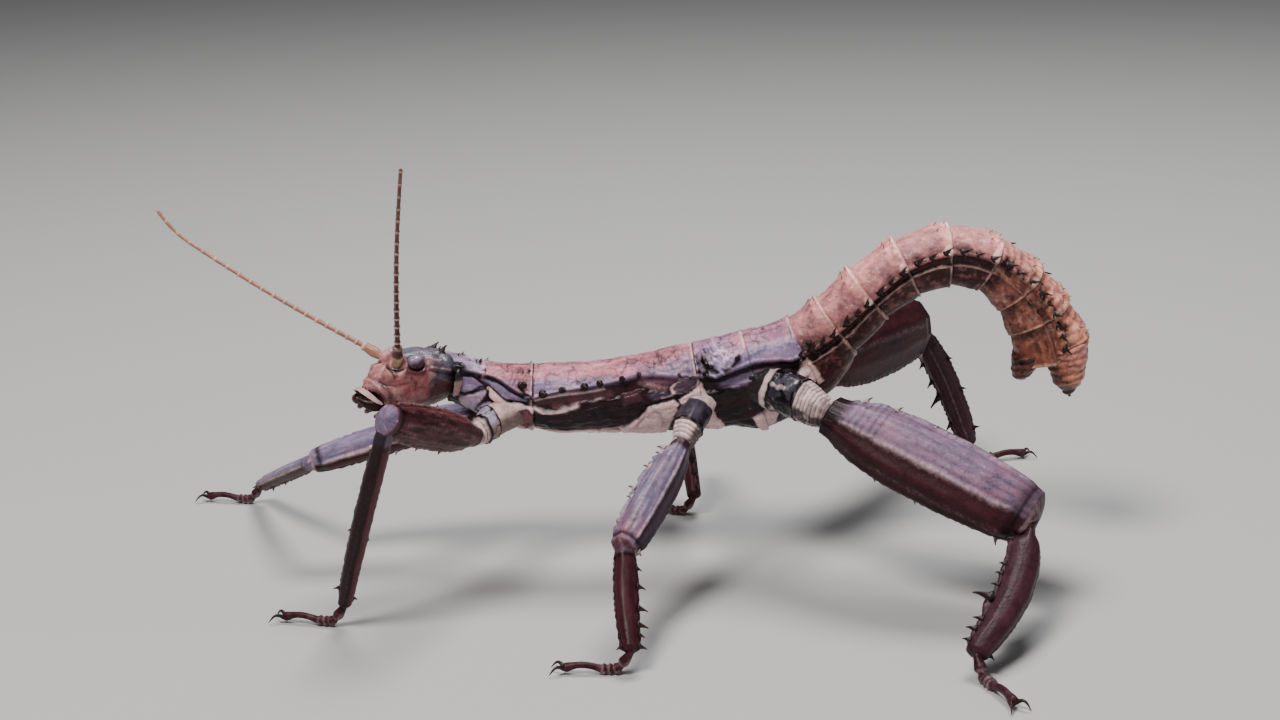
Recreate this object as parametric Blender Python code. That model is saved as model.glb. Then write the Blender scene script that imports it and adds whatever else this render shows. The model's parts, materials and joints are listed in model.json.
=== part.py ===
# A male tree-lobster stick insect standing at rest, life-size, its abdomen curled over its back.
#
# All sizes below are in millimetres, and MM turns them into the scene's metres. The insect faces -X,
# its left side is -Y, and +Z is up, with the floor at 0. Every plate of the shell is its own closed
# solid, parted from its neighbours by a thin gap.

import math

import bmesh
import bpy
from mathutils import Matrix, Vector

MM = 0.001
GAP = 0.3  # clearance between two neighbouring solids
SHARP_ANGLE = 38.0
UP = Vector((0, 0, 1))

# ---- driving dimensions: the trunk -------------------------------------------------------------
# The side line of the back plates starts at the neck. Each piece carries it on by its own length
# at its own pitch (degrees above the horizontal).
NECK_JOINT = Vector((-28.3, 0, 31.5))
TRUNK = (
    # name, length, pitch, kind of plate
    ("prothorax", 12.2, -10.0, "collar"),
    ("mesothorax", 25.4, 6.5, "saddle"),
    ("metathorax", 8.2, 13.0, "saddle"),
    ("abdomen_1", 8.0, 16.0, "saddle"),
    ("abdomen_2", 6.1, 31.0, "ring"),
    ("abdomen_3", 6.9, 41.0, "ring"),
    ("abdomen_4", 7.2, 35.5, "ring"),
    ("abdomen_5", 7.1, 16.5, "ring"),
    ("abdomen_6", 7.1, -14.0, "ring"),
    ("abdomen_7", 6.8, -39.5, "ring"),
    ("abdomen_8", 5.8, -52.5, "ring"),
    ("abdomen_9", 5.1, -66.0, "ring"),
)
TAIL_LENGTH, TAIL_PITCH = 8.6, -81.0
# At each joint of the trunk: half width, height above the side line, depth below it, and roll
# (degrees, which turns the belly side to the left).
GIRTH = (
    (3.5, 2.7, 4.0, 0),
    (4.6, 3.5, 6.6, 0),
    (5.2, 3.3, 10.0, 0),
    (5.5, 3.4, 12.4, 0),
    (5.2, 3.5, 11.0, 0),
    (4.8, 3.9, 6.6, 0),
    (4.6, 3.8, 5.7, 0),
    (4.6, 3.5, 5.9, 2),
    (4.5, 3.1, 6.2, 6),
    (4.4, 2.7, 5.8, 11),
    (4.5, 2.9, 6.2, 14),
    (4.8, 3.2, 7.4, 14),
    (4.9, 3.5, 7.6, 14),
)
TRUNK_SIDES = 14
BELLY_TUCK = 0.90  # the belly is this much narrower than the back
TRUNK_SQUARENESS = (0.72, 0.88)  # exponents that square off the section, across and up
# Rings of each kind of plate: share of its length, and factors for width, height and depth.
PLATE_RINGS = {
    "collar": ((0, 0.97, 0.95, 0.96), (0.10, 1.06, 1.04, 1.02), (0.32, 0.99, 0.96, 1.10),
               (0.62, 1.03, 0.94, 1.12), (0.88, 1.04, 0.98, 1.05), (1, 1.0, 0.96, 0.98)),
    "saddle": ((0, 0.97, 0.95, 0.97), (0.10, 1.04, 1.02, 1.00), (0.30, 1.02, 0.93, 0.98),
               (0.52, 1.02, 0.92, 0.97), (0.74, 1.03, 0.96, 1.01), (0.92, 1.05, 1.03, 1.04),
               (1, 0.98, 0.97, 1.0)),
    "ring": ((0, 0.95, 0.93, 0.94), (0.22, 0.98, 0.97, 0.98), (0.60, 1.02, 1.0, 1.01),
             (0.84, 1.06, 1.06, 1.03), (1, 0.99, 0.97, 0.95)),
}
# Rings of the two tail plates: share of TAIL_LENGTH, half width, top and bottom square to the side line.
BEAK_RINGS = ((0, 4.8, 3.9, -2.8), (0.25, 4.7, 3.6, -2.7), (0.55, 4.0, 2.9, -2.4),
              (0.80, 2.8, 2.1, -2.0), (0.95, 1.5, 1.3, -1.5), (1.0, 0.8, 0.7, -1.1))
CUP_RINGS = ((0, 4.6, -3.1, -7.8), (0.22, 4.6, -3.5, -8.2), (0.45, 3.8, -4.8, -8.3), (0.58, 2.4, -5.9, -7.9))
TAIL_TURN = 3.0  # the tail plates reach their own pitch in a third of their length

# ---- driving dimensions: the head --------------------------------------------------------------
HEAD_YAW, HEAD_PITCH = 214.0, 4.0  # the head looks forward and round to the left
HEAD_JOINT = Vector((-29.6, -0.3, 31.6))
HEAD_SIDES, JAW_SIDES = 14, 10
HEAD_SQUARENESS = (0.85, 0.9)
HEAD_RINGS = (
    # distance along the head, half width, height above its axis, depth below it
    (0.3, 2.8, 2.5, 2.5),
    (1.3, 3.7, 3.7, 3.2),
    (3.6, 4.3, 4.6, 3.9),
    (6.6, 4.4, 4.9, 3.9),
    (9.2, 4.2, 4.5, 3.7),
    (11.2, 3.7, 3.3, 3.4),
    (12.6, 3.0, 1.9, 3.0),
    (13.2, 2.2, 0.8, 2.4),
)
JAW_RINGS = (
    # distance along the head, half width, top and bottom of the mouthparts
    (8.4, 2.4, -2.0, -4.2),
    (10.8, 2.9, -1.0, -4.5),
    (13.4, 2.9, 0.9, -3.7),
    (14.8, 2.4, 0.7, -2.8),
    (15.6, 1.6, 0.1, -2.1),
)
EYE_PLACE = (7.6, 3.35, 3.6)  # along the head, out from its midline, above its axis
EYE_SIZE = (1.45, 0.95, 1.25)
EYE_SEGMENTS, EYE_BANDS = 12, 8
NECK_RADII, NECK_SIDES, NECK_DROP = (2.9, 2.7), 12, 0.2

ANTENNA_ROOT = (10.2, 2.4, 3.6)
SCAPE_LENGTH = 3.4
SCAPE_RINGS = ((-1.2, 0.62), (0.3, 0.62), (1.9, 0.95), (SCAPE_LENGTH, 0.7))  # place from the root, radius
SCAPE_SIDES = 8
HOOK_START = 0.85  # share of the feeler after which its tip curls by its hook
WHIP_RADII = (0.46, 0.30)
WHIP_RINGS, WHIP_SIDES = 18, 6
# Each feeler runs from its root to its tip, and swings out sideways by its bow on the way.
ANTENNAE = {
    "left": {"tip": Vector((-32.3, -26.0, 69.5)), "bow": Vector((-0.4, 0, 0)), "hook": Vector((0, 0, 0))},
    "right": {"tip": Vector((-74.8, 8.0, 55.6)), "bow": Vector((0, 0, -0.7)), "hook": Vector((0.3, 0, 1.8))},
}

# ---- driving dimensions: the legs --------------------------------------------------------------
ANKLE_HEIGHT = 3.3
KNEE_INSET = 1.1  # how far back inside the femur the tibia hinges
HIP_SHARE = 0.55  # the coxa ends, and the femur starts, this share of its small radius past the hip
# Rings of a coxa: share of the way from root to hip, and factor for the wide radius. The last two
# rings turn towards the femur.
COXA_RINGS = ((0, 1), (0.4, 1), (0.75, 0.92))
COXA_TURN, COXA_END = 0.12, 0.86
COXA_SIDES = 10
SOLE_HEIGHT = 0.6  # the tarsus's axis where it lies along the floor
# Root and hip are given for the right side; femur and tibia radii are half width and half height.
LEGS = {
    "front": {
        "root": Vector((-21.4, 3.0, 26.6)), "hip": Vector((-25.0, 7.6, 23.9)),
        "coxa": (2.7, 2.0), "femur": 28.5, "femur_radii": (2.4, 3.0),
        "tibia": 33.5, "tibia_radii": (1.3, 1.6), "bow": 0.6, "tarsus": 10.5, "tarsus_radius": 0.68,
        "cut_by": ("prothorax", "mesothorax"),
    },
    "mid": {
        "root": Vector((8.4, 3.6, 26.4)), "hip": Vector((6.5, 10.6, 23.4)),
        "coxa": (2.9, 2.1), "femur": 24.6, "femur_radii": (2.5, 2.8),
        "tibia": 15.6, "tibia_radii": (1.45, 1.65), "bow": 0.4, "tarsus": 10.2, "tarsus_radius": 0.68,
        "cut_by": ("mesothorax", "metathorax"),
    },
    "hind": {
        "root": Vector((21.6, 3.6, 29.6)), "hip": Vector((27.2, 11.8, 28.0)),
        "coxa": (4.0, 3.0), "femur": 35.0, "femur_radii": (4.6, 5.8),
        "tibia": 26.5, "tibia_radii": (2.0, 2.4), "bow": 2.2, "tarsus": 11.5, "tarsus_radius": 0.75,
        "cut_by": ("metathorax", "abdomen_1", "abdomen_2"),
    },
}
# Each leg's pose in degrees: headings count anticlockwise from +X seen from above. The tibia's
# slope follows from its length and the floor.
POSES = {
    # (pair, side): heading and pitch of the femur, heading of the tibia, heading of the tarsus
    ("front", "left"): (-114, 22, 136, 165),
    ("front", "right"): (187, -15, 116, 168),
    ("mid", "left"): (-114, -22, -86, 175),
    ("mid", "right"): (88, -25, -83, 160),
    ("hind", "left"): (-24.5, -21.5, -119, -70),
    ("hind", "right"): (53.5, -1.3, 24.5, 14),
}
# Corners of a limb's section: across, and up towards its outer edge.
LIMB_SECTION = ((1.0, 0.30), (0.58, 1.0), (-0.58, 1.0), (-1.0, 0.30),
                (-0.92, -0.42), (-0.42, -1.0), (0.42, -1.0), (0.92, -0.42))
# Rings of a limb piece: share of its length, and factors for width and height.
FEMUR_RINGS = ((0, 0.60, 0.50), (0.06, 0.70, 0.60), (0.17, 0.90, 0.84), (0.36, 1.0, 0.98),
               (0.62, 0.98, 1.0), (0.82, 0.90, 0.92), (0.93, 0.84, 0.84), (0.98, 0.80, 0.78),
               (1.02, 0.56, 0.52))
TIBIA_RINGS = ((0, 0.85, 0.80), (0.12, 0.95, 0.90), (0.32, 0.95, 1.0), (0.54, 0.95, 0.98),
               (0.76, 0.90, 0.86), (0.92, 0.86, 0.76), (1.0, 0.70, 0.60))
TARSUS_RINGS = ((0, 0.9), (0.10, 1.05), (0.16, 1.12), (0.19, 0.92), (0.28, 1.12), (0.31, 0.92),
                (0.40, 1.08), (0.44, 0.80), (0.70, 0.85), (0.93, 1.15), (1.0, 0.9))
TARSUS_DROP = 0.22  # share of the tarsus in which it comes down from the ankle
CLAW_LENGTH, CLAW_SPREAD, CLAW_RADIUS, CLAW_ARCH = 2.6, 42.0, 0.42, 0.9
TARSUS_FALL = 1.3  # exponent of that drop
TARSUS_SIDES, CLAW_SIDES, CLAW_RINGS = 8, 5, 5
CLAW_ROOT = (0.45, 0.35)  # the claws start this far back (mm) and aside (share of the tarsus's radius)
CLAW_TAPER, CLAW_DROP = 0.35, 0.7
CLAW_FLOOR = 0.04  # the claws' soles clear those of the foot, so that no two faces coincide
# Spines of a limb piece: share of its length, side of the section (a face of LIMB_SECTION),
# length, and lean towards the foot.
OUTER, FLEXOR = 1, 5
SPINE_INSET = 0.2  # a spine's root stands in from its face's edges by this share of the shortest
SPINES = {
    ("hind", "tibia"): ((0.26, FLEXOR, 0.9, 0.3), (0.47, FLEXOR, 1.2, 0.2), (0.60, FLEXOR, 3.2, 0.2),
                        (0.88, FLEXOR, 1.3, 0.4)),
    ("mid", "tibia"): ((0.47, FLEXOR, 0.9, 0.3), (0.69, FLEXOR, 1.0, 0.3), (0.88, FLEXOR, 1.0, 0.3)),
    ("hind", "femur"): ((0.27, OUTER, 0.8, 0.3), (0.88, FLEXOR, 1.5, 0.6)),
}

# ---- materials ---------------------------------------------------------------------------------
MATERIALS = {
    # name: colour, roughness
    "shell_brown": ((0.20, 0.10, 0.085), 0.42),
    "shell_tan": ((0.34, 0.19, 0.12), 0.50),
    "leg_shell": ((0.10, 0.055, 0.06), 0.34),
    "joint_skin": ((0.62, 0.52, 0.46), 0.55),
    "eye": ((0.16, 0.09, 0.10), 0.18),
    "mouth": ((0.12, 0.06, 0.05), 0.40),
    "feeler": ((0.30, 0.19, 0.13), 0.55),
}


def clear_scene():
    for old in list(bpy.data.objects):
        bpy.data.objects.remove(old, do_unlink=True)


def material(name):
    found = bpy.data.materials.get(name)
    if found:
        return found
    colour, roughness = MATERIALS[name]
    made = bpy.data.materials.new(name)
    made.use_nodes = True
    shader = made.node_tree.nodes["Principled BSDF"]
    shader.inputs["Base Color"].default_value = (*colour, 1)
    shader.inputs["Roughness"].default_value = roughness
    shader.inputs["Metallic"].default_value = 0.0
    return made


def heading(degrees, pitch=0.0):
    """A unit vector at this heading in plan and this pitch above the horizontal."""
    turn, rise = math.radians(degrees), math.radians(pitch)
    return Vector((math.cos(turn) * math.cos(rise), math.sin(turn) * math.cos(rise), math.sin(rise)))


def square_to(vector, axis):
    """The part of a vector that is square to an axis, as a unit vector."""
    return (vector - vector.dot(axis) * axis).normalized()


def power(value, exponent):
    return math.copysign(abs(value) ** exponent, value)


# ---- building solids ---------------------------------------------------------------------------
def loft(name, rings, look, spines=(), floor=None):
    """A closed solid through rings of points, with spines grown from chosen faces."""
    mesh = bmesh.new()
    loops = [[mesh.verts.new(point * MM) for point in ring] for ring in rings]
    sides = len(loops[0])
    faces = {}
    for row, (near, far) in enumerate(zip(loops, loops[1:])):
        for side in range(sides):
            after = (side + 1) % sides
            faces[row, side] = mesh.faces.new((near[side], near[after], far[after], far[side]))
    mesh.faces.new(loops[0][::-1])
    mesh.faces.new(loops[-1])
    bmesh.ops.recalc_face_normals(mesh, faces=mesh.faces)
    for row, side, length, lean in spines:
        grow_spine(mesh, faces[row, side], length, lean)
    if floor is not None:
        for vert in mesh.verts:
            vert.co.z = max(vert.co.z, floor * MM)
    data = bpy.data.meshes.new(name)
    mesh.to_mesh(data)
    mesh.free()
    data.shade_smooth()
    data.set_sharp_from_angle(angle=math.radians(SHARP_ANGLE))
    data.materials.append(material(look))
    made = bpy.data.objects.new(name, data)
    bpy.context.scene.collection.objects.link(made)
    return made


def grow_spine(mesh, face, length, lean):
    """A pointed spine on the middle of a face, leaning along the piece."""
    normal = face.normal.copy()
    along = max(face.edges, key=lambda edge: edge.calc_length())
    run = (along.verts[1].co - along.verts[0].co).normalized()
    towards_end = face.verts[2].co + face.verts[3].co - face.verts[0].co - face.verts[1].co
    if run.dot(towards_end) < 0:
        run = -run
    shortest = min(edge.calc_length() for edge in face.edges)
    bmesh.ops.inset_individual(mesh, faces=[face], thickness=shortest * SPINE_INSET, use_even_offset=True)
    centre = face.calc_center_median()
    tip = bmesh.ops.poke(mesh, faces=[face])["verts"][0]
    tip.co = centre + (normal + lean * run) * length * MM


def hide_helper(thing):
    thing.hide_render = True
    thing.display_type = "WIRE"


def combine(solid, helper, operation):
    """Cuts or joins a solid with a hidden helper."""
    hide_helper(helper)
    modifier = solid.modifiers.new(operation.title(), "BOOLEAN")
    modifier.operation = operation
    modifier.object = helper
    modifier.solver = "EXACT"


# ---- trunk -------------------------------------------------------------------------------------
def trunk_joints():
    """Place and pitch of every joint of the trunk, from the neck to the tail plate."""
    places, pitches = [NECK_JOINT.copy()], []
    slopes = [pitch for _, _, pitch, _ in TRUNK] + [TAIL_PITCH]
    for (_, length, pitch, _), following in zip(TRUNK, slopes[1:]):
        places.append(places[-1] + heading(0, pitch) * length)
        pitches.append((pitch + following) / 2)
    return places, [TRUNK[0][2]] + pitches


def back_up(pitch):
    """The direction square to the trunk's side line, towards its back."""
    return heading(180, 90 - pitch)


def trunk_ring(centre, pitch, roll, width, crown, depth, grow=0.0):
    """A section of the trunk: an arched back plate over a deeper, narrower belly."""
    turn = Matrix.Rotation(math.radians(roll), 3, heading(0, pitch))
    side, up = turn @ Vector((0, 1, 0)), turn @ back_up(pitch)
    ring = []
    for step in range(TRUNK_SIDES):
        angle = 2 * math.pi * step / TRUNK_SIDES
        across, rise = math.cos(angle), math.sin(angle)
        tuck = 1.0 if rise > -0.05 else BELLY_TUCK
        reach = (crown if rise > 0 else depth) + grow
        ring.append(centre + side * (width + grow) * tuck * power(across, TRUNK_SQUARENESS[0])
                    + up * reach * power(rise, TRUNK_SQUARENESS[1]))
    return ring


def hermite(start, start_run, end, end_run, share):
    """A smooth path between two joints that leaves and arrives along the given runs."""
    squared, cubed = share * share, share ** 3
    return (start * (2 * cubed - 3 * squared + 1) + start_run * (cubed - 2 * squared + share)
            + end * (3 * squared - 2 * cubed) + end_run * (cubed - squared))


def trunk_piece(index, places, pitches, grow=0.0):
    """The rings of one piece of the trunk. A grown copy is its cutter."""
    name, length, _, kind = TRUNK[index]
    first, last = pitches[index], pitches[index + 1]
    offset = GAP / 2 - grow * 2
    start = places[index] + heading(0, first) * offset
    end = places[index + 1] - heading(0, last) * offset
    rings = []
    for share, wide, high, deep in PLATE_RINGS[kind]:
        centre = hermite(start, heading(0, first) * length, end, heading(0, last) * length, share)
        girth = [a + (b - a) * share for a, b in zip(GIRTH[index], GIRTH[index + 1])]
        rings.append(trunk_ring(centre, first + (last - first) * share, girth[3],
                                girth[0] * wide, girth[1] * high, girth[2] * deep, grow))
    return name + ("_cutter" if grow else ""), rings


def make_trunk():
    places, pitches = trunk_joints()
    cutters = {}
    for index, (name, _, _, _) in enumerate(TRUNK):
        look = "shell_tan" if name in ("abdomen_7", "abdomen_8", "abdomen_9") else "shell_brown"
        loft(*trunk_piece(index, places, pitches), look)
        cutter = loft(*trunk_piece(index, places, pitches, grow=GAP), look)
        hide_helper(cutter)
        cutters[name] = cutter
    make_tail(places[-1], pitches[-1])
    return cutters


def tail_ring(centre, pitch, width, top, bottom):
    """A section of a tail plate between two heights square to the trunk's side line."""
    turn = Matrix.Rotation(math.radians(GIRTH[-1][3]), 3, heading(0, pitch))
    side, up = turn @ Vector((0, 1, 0)), turn @ back_up(pitch)
    middle, half = (top + bottom) / 2, (top - bottom) / 2
    ring = []
    for step in range(TRUNK_SIDES):
        angle = 2 * math.pi * step / TRUNK_SIDES
        ring.append(centre + side * width * power(math.cos(angle), TRUNK_SQUARENESS[0])
                    + up * (middle + half * power(math.sin(angle), TRUNK_SQUARENESS[1])))
    return ring


def make_tail(joint, pitch):
    """The last back plate, drawn out to a beak, and the cup-shaped plate below it."""
    run = heading(0, TAIL_PITCH)
    start = joint + heading(0, pitch) * GAP / 2
    for name, shape in (("abdomen_10", BEAK_RINGS), ("genital_plate", CUP_RINGS)):
        rings = []
        for share, width, top, bottom in shape:
            slope = pitch + (TAIL_PITCH - pitch) * min(1, share * TAIL_TURN)
            rings.append(tail_ring(start + run * TAIL_LENGTH * share, slope, width, top, bottom))
        loft(name, rings, "shell_tan")


# ---- head --------------------------------------------------------------------------------------
def head_axes():
    run = heading(HEAD_YAW, HEAD_PITCH)
    left = UP.cross(run).normalized()
    return run, left, run.cross(left)


def head_point(along, left, up):
    run, aside, rise = head_axes()
    return HEAD_JOINT + run * along + aside * left + rise * up


def head_rings(shape, grow=0.0):
    rings = []
    for row, (along, width, top, bottom) in enumerate(shape):
        along += {0: -grow, len(shape) - 1: grow}.get(row, 0)
        ring = []
        for step in range(HEAD_SIDES):
            angle = 2 * math.pi * step / HEAD_SIDES
            rise = math.sin(angle)
            reach = (top if rise > 0 else bottom) + grow
            ring.append(head_point(along, (width + grow) * power(math.cos(angle), HEAD_SQUARENESS[0]),
                                   reach * power(rise, HEAD_SQUARENESS[1])))
        rings.append(ring)
    return rings


def make_head():
    loft("head", head_rings(HEAD_RINGS), "shell_brown")
    cutter = loft("head_cutter", head_rings(HEAD_RINGS, grow=GAP), "shell_brown")
    make_mouth(cutter)
    make_neck()
    for name, hand in (("left", 1), ("right", -1)):
        make_eye("eye_" + name, hand, cutter)
        make_antenna(name, hand, cutter)


def make_mouth(cutter):
    """Jaws and lips as one block under the front of the head."""
    rings = []
    for along, width, top, bottom in JAW_RINGS:
        middle, half = (top + bottom) / 2, (top - bottom) / 2
        angles = [2 * math.pi * step / JAW_SIDES for step in range(JAW_SIDES)]
        rings.append([head_point(along, width * power(math.cos(angle), HEAD_SQUARENESS[0]),
                                 middle + half * power(math.sin(angle), HEAD_SQUARENESS[1]))
                      for angle in angles])
    combine(loft("mouthparts", rings, "mouth"), cutter, "DIFFERENCE")


def make_neck():
    """A short sleeve of soft skin between the head and the first collar."""
    front, back = -head_axes()[0], heading(0, TRUNK[0][2])
    start = HEAD_JOINT + front * GAP
    end = NECK_JOINT - back * GAP - UP * NECK_DROP
    angles = [2 * math.pi * step / NECK_SIDES for step in range(NECK_SIDES)]
    rings = []
    for share, turned in ((0, 0.2), (0.5, 0.6), (1, 1)):
        centre = start.lerp(end, share)
        axis = front.lerp(back, turned).normalized()
        side = square_to(Vector((0, 1, 0)), axis)
        up = axis.cross(side)
        rings.append([centre + side * NECK_RADII[0] * math.cos(angle) + up * NECK_RADII[1] * math.sin(angle)
                      for angle in angles])
    loft("neck", rings, "joint_skin")


def make_eye(name, hand, cutter):
    mesh = bpy.data.meshes.new(name)
    ball = bmesh.new()
    bmesh.ops.create_uvsphere(ball, u_segments=EYE_SEGMENTS, v_segments=EYE_BANDS, radius=MM)
    along, aside, above = EYE_PLACE
    run, left, rise = head_axes()
    basis = Matrix((run * EYE_SIZE[0], left * hand * EYE_SIZE[1], rise * EYE_SIZE[2])).transposed().to_4x4()
    basis.translation = head_point(along, aside * hand, above) * MM
    ball.transform(basis)
    bmesh.ops.recalc_face_normals(ball, faces=ball.faces)
    ball.to_mesh(mesh)
    ball.free()
    mesh.shade_smooth()
    mesh.materials.append(material("eye"))
    eye = bpy.data.objects.new(name, mesh)
    bpy.context.scene.collection.objects.link(eye)
    combine(eye, cutter, "DIFFERENCE")


def tube(name, path, radii, sides, look, **options):
    """A round solid along a path, with one radius (or a pair: across, up) for each point."""
    rings = []
    for row, centre in enumerate(path):
        run = (path[min(row + 1, len(path) - 1)] - path[max(row - 1, 0)]).normalized()
        side = square_to(Vector((0.2, 1, 0.1)), run)
        up = side.cross(run)
        wide, high = radii[row] if isinstance(radii[row], tuple) else (radii[row], radii[row])
        rings.append([centre + side * wide * math.cos(2 * math.pi * step / sides)
                      + up * high * math.sin(2 * math.pi * step / sides) for step in range(sides)])
    return loft(name, rings, look, **options)


def make_antenna(name, hand, cutter):
    """A stout first joint, then a whip that tapers to its tip."""
    aim = ANTENNAE[name]
    root = head_point(ANTENNA_ROOT[0], ANTENNA_ROOT[1] * hand, ANTENNA_ROOT[2])
    run = (aim["tip"] - root).normalized()
    scape_end = root + run * SCAPE_LENGTH
    path = [root + run * place for place, _ in SCAPE_RINGS]
    thickness = [radius for _, radius in SCAPE_RINGS]
    base = tube("antenna_" + name + "_base", path, thickness, SCAPE_SIDES, "feeler")
    combine(base, cutter, "DIFFERENCE")
    start = scape_end + run * GAP
    points, radii = [], []
    for step in range(WHIP_RINGS + 1):
        share = step / WHIP_RINGS
        curl = max(0, (share - HOOK_START) / (1 - HOOK_START)) ** 2
        points.append(start.lerp(aim["tip"], share) + aim["bow"] * math.sin(math.pi * share)
                      + aim["hook"] * curl)
        radii.append(WHIP_RADII[0] + (WHIP_RADII[1] - WHIP_RADII[0]) * share)
    tube("antenna_" + name, points, radii, WHIP_SIDES, "feeler")


# ---- legs --------------------------------------------------------------------------------------
def leg_points(pair, side):
    """Root, hip, knee, ankle and toe of one leg, and its foot's direction."""
    leg = LEGS[pair]
    femur_heading, femur_pitch, tibia_heading, tarsus_heading = POSES[pair, side]
    mirror = Vector((1, -1 if side == "left" else 1, 1))
    root, hip = (Vector(a * b for a, b in zip(leg[key], mirror)) for key in ("root", "hip"))
    knee = hip + heading(femur_heading, femur_pitch) * leg["femur"]
    drop = knee.z - ANKLE_HEIGHT
    slope = -math.degrees(math.asin(drop / leg["tibia"]))
    ankle = knee + heading(tibia_heading, slope) * leg["tibia"]
    return root, hip, knee, ankle, heading(tarsus_heading)


def limb_rings(start, end, outer, radii, shape, bow=0.0, grow=0.0, reach=0.0):
    """Rings of a femur or a tibia, whose outer edge is arched by its bow."""
    run = (end - start).normalized()
    out = square_to(outer, run)
    side = out.cross(run)
    rings = []
    for row, (share, wide, high) in enumerate(shape):
        centre = start.lerp(end, share) + out * bow * math.sin(math.pi * min(share, 1))
        centre += run * {0: -reach, len(shape) - 1: reach}.get(row, 0)
        rings.append([centre + side * (radii[0] * wide + grow) * a + out * (radii[1] * high + grow) * b
                      for a, b in LIMB_SECTION])
    return rings


def limb_spines(pair, piece, shape):
    """Spines as rows of the loft: the ring span that holds each one."""
    found = []
    for share, side, length, lean in SPINES.get((pair, piece), ()):
        row = max(index for index, ring in enumerate(shape) if ring[0] <= share)
        found.append((row, side, length, lean))
    return found


def make_leg(pair, side, trunk_cutters):
    leg = LEGS[pair]
    root, hip, knee, ankle, foot = leg_points(pair, side)
    name = pair + "_" + side + "_"
    thigh, shin = (knee - hip).normalized(), (ankle - knee).normalized()
    make_coxa(name, leg, root, hip, thigh, trunk_cutters)

    start = hip + thigh * (leg["coxa"][1] * HIP_SHARE + GAP)
    extensor = -square_to(shin, thigh)
    femur = limb_rings(start, knee, extensor, leg["femur_radii"], FEMUR_RINGS)
    loft(name + "femur", femur, "leg_shell", limb_spines(pair, "femur", FEMUR_RINGS))
    femur_cutter = loft(name + "femur_cutter", limb_rings(
        start, knee, extensor, leg["femur_radii"], FEMUR_RINGS, grow=GAP, reach=GAP), "leg_shell")

    tibia = {"start": knee - thigh * KNEE_INSET, "end": ankle, "outer": thigh, "radii": leg["tibia_radii"],
             "shape": TIBIA_RINGS, "bow": leg["bow"]}
    shank = loft(name + "tibia", limb_rings(**tibia), "leg_shell", limb_spines(pair, "tibia", TIBIA_RINGS))
    combine(shank, femur_cutter, "DIFFERENCE")
    tibia_cutter = loft(name + "tibia_cutter", limb_rings(**tibia, grow=GAP, reach=GAP), "leg_shell")
    make_foot(name, leg, ankle, shin, foot, tibia_cutter)


def make_coxa(name, leg, root, hip, thigh, trunk_cutters):
    """The hip joint: a ringed cone that leaves the trunk and turns towards the femur."""
    wide, narrow = leg["coxa"]
    run = (hip - root).normalized()
    path = [root.lerp(hip, share) for share, _ in COXA_RINGS]
    path += [hip + (thigh - run) * narrow * COXA_TURN, hip + thigh * narrow * HIP_SHARE]
    thickness = [wide * factor for _, factor in COXA_RINGS] + [narrow, narrow * COXA_END]
    coxa = tube(name + "coxa", path, thickness, COXA_SIDES, "joint_skin")
    for part in leg["cut_by"]:
        combine(coxa, trunk_cutters[part], "DIFFERENCE")


def make_foot(name, leg, ankle, shin, foot, tibia_cutter):
    """A jointed tarsus that lies on the floor on small flats, and two spread claws."""
    radius = leg["tarsus_radius"]
    path, radii = [], []
    for share, wide in TARSUS_RINGS:
        fall = max(0, 1 - share / TARSUS_DROP)
        height = SOLE_HEIGHT + (ANKLE_HEIGHT - SOLE_HEIGHT) * fall ** TARSUS_FALL
        place = ankle + foot * leg["tarsus"] * share
        path.append(Vector((place.x, place.y, height)))
        radii.append((radius * wide, radius * wide))
    tarsus = tube(name + "tarsus", path, radii, TARSUS_SIDES, "leg_shell", floor=0)
    for number, hand in enumerate((1, -1)):
        turn = Matrix.Rotation(math.radians(CLAW_SPREAD) * hand, 3, UP)
        claw_run = turn @ foot
        socket = path[-1] - foot * CLAW_ROOT[0] + UP.cross(foot) * radius * CLAW_ROOT[1] * hand
        points, sizes = [], []
        for step in range(CLAW_RINGS):
            share = step / (CLAW_RINGS - 1)
            arch = CLAW_ARCH * math.sin(math.pi * share) - SOLE_HEIGHT * CLAW_DROP * share
            points.append(socket + claw_run * CLAW_LENGTH * share + UP * arch)
            sizes.append(CLAW_RADIUS * (1 - CLAW_TAPER * share))
        claw = tube(name + "claw_%d_helper" % number, points, sizes, CLAW_SIDES, "leg_shell",
                    floor=CLAW_FLOOR)
        combine(tarsus, claw, "UNION")
    combine(tarsus, tibia_cutter, "DIFFERENCE")


def centre_on_floor():
    """Moves the whole model so that its origin is at the middle of its footprint."""
    bpy.context.view_layer.update()
    shown = [thing for thing in bpy.data.objects if not thing.hide_render]
    corners = [thing.matrix_world @ Vector(corner) for thing in shown for corner in thing.bound_box]
    low = Vector(min(corner[axis] for corner in corners) for axis in range(3))
    high = Vector(max(corner[axis] for corner in corners) for axis in range(3))
    shift = Vector((-(low.x + high.x) / 2, -(low.y + high.y) / 2, -low.z))
    for thing in bpy.data.objects:
        thing.location += shift


clear_scene()
cutters = make_trunk()
make_head()
for pair_name in LEGS:
    for side_name in ("left", "right"):
        make_leg(pair_name, side_name, cutters)
centre_on_floor()
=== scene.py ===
import json
import math

import bpy
import numpy as np
from mathutils import Matrix, Vector
from mathutils.bvhtree import BVHTree

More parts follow.
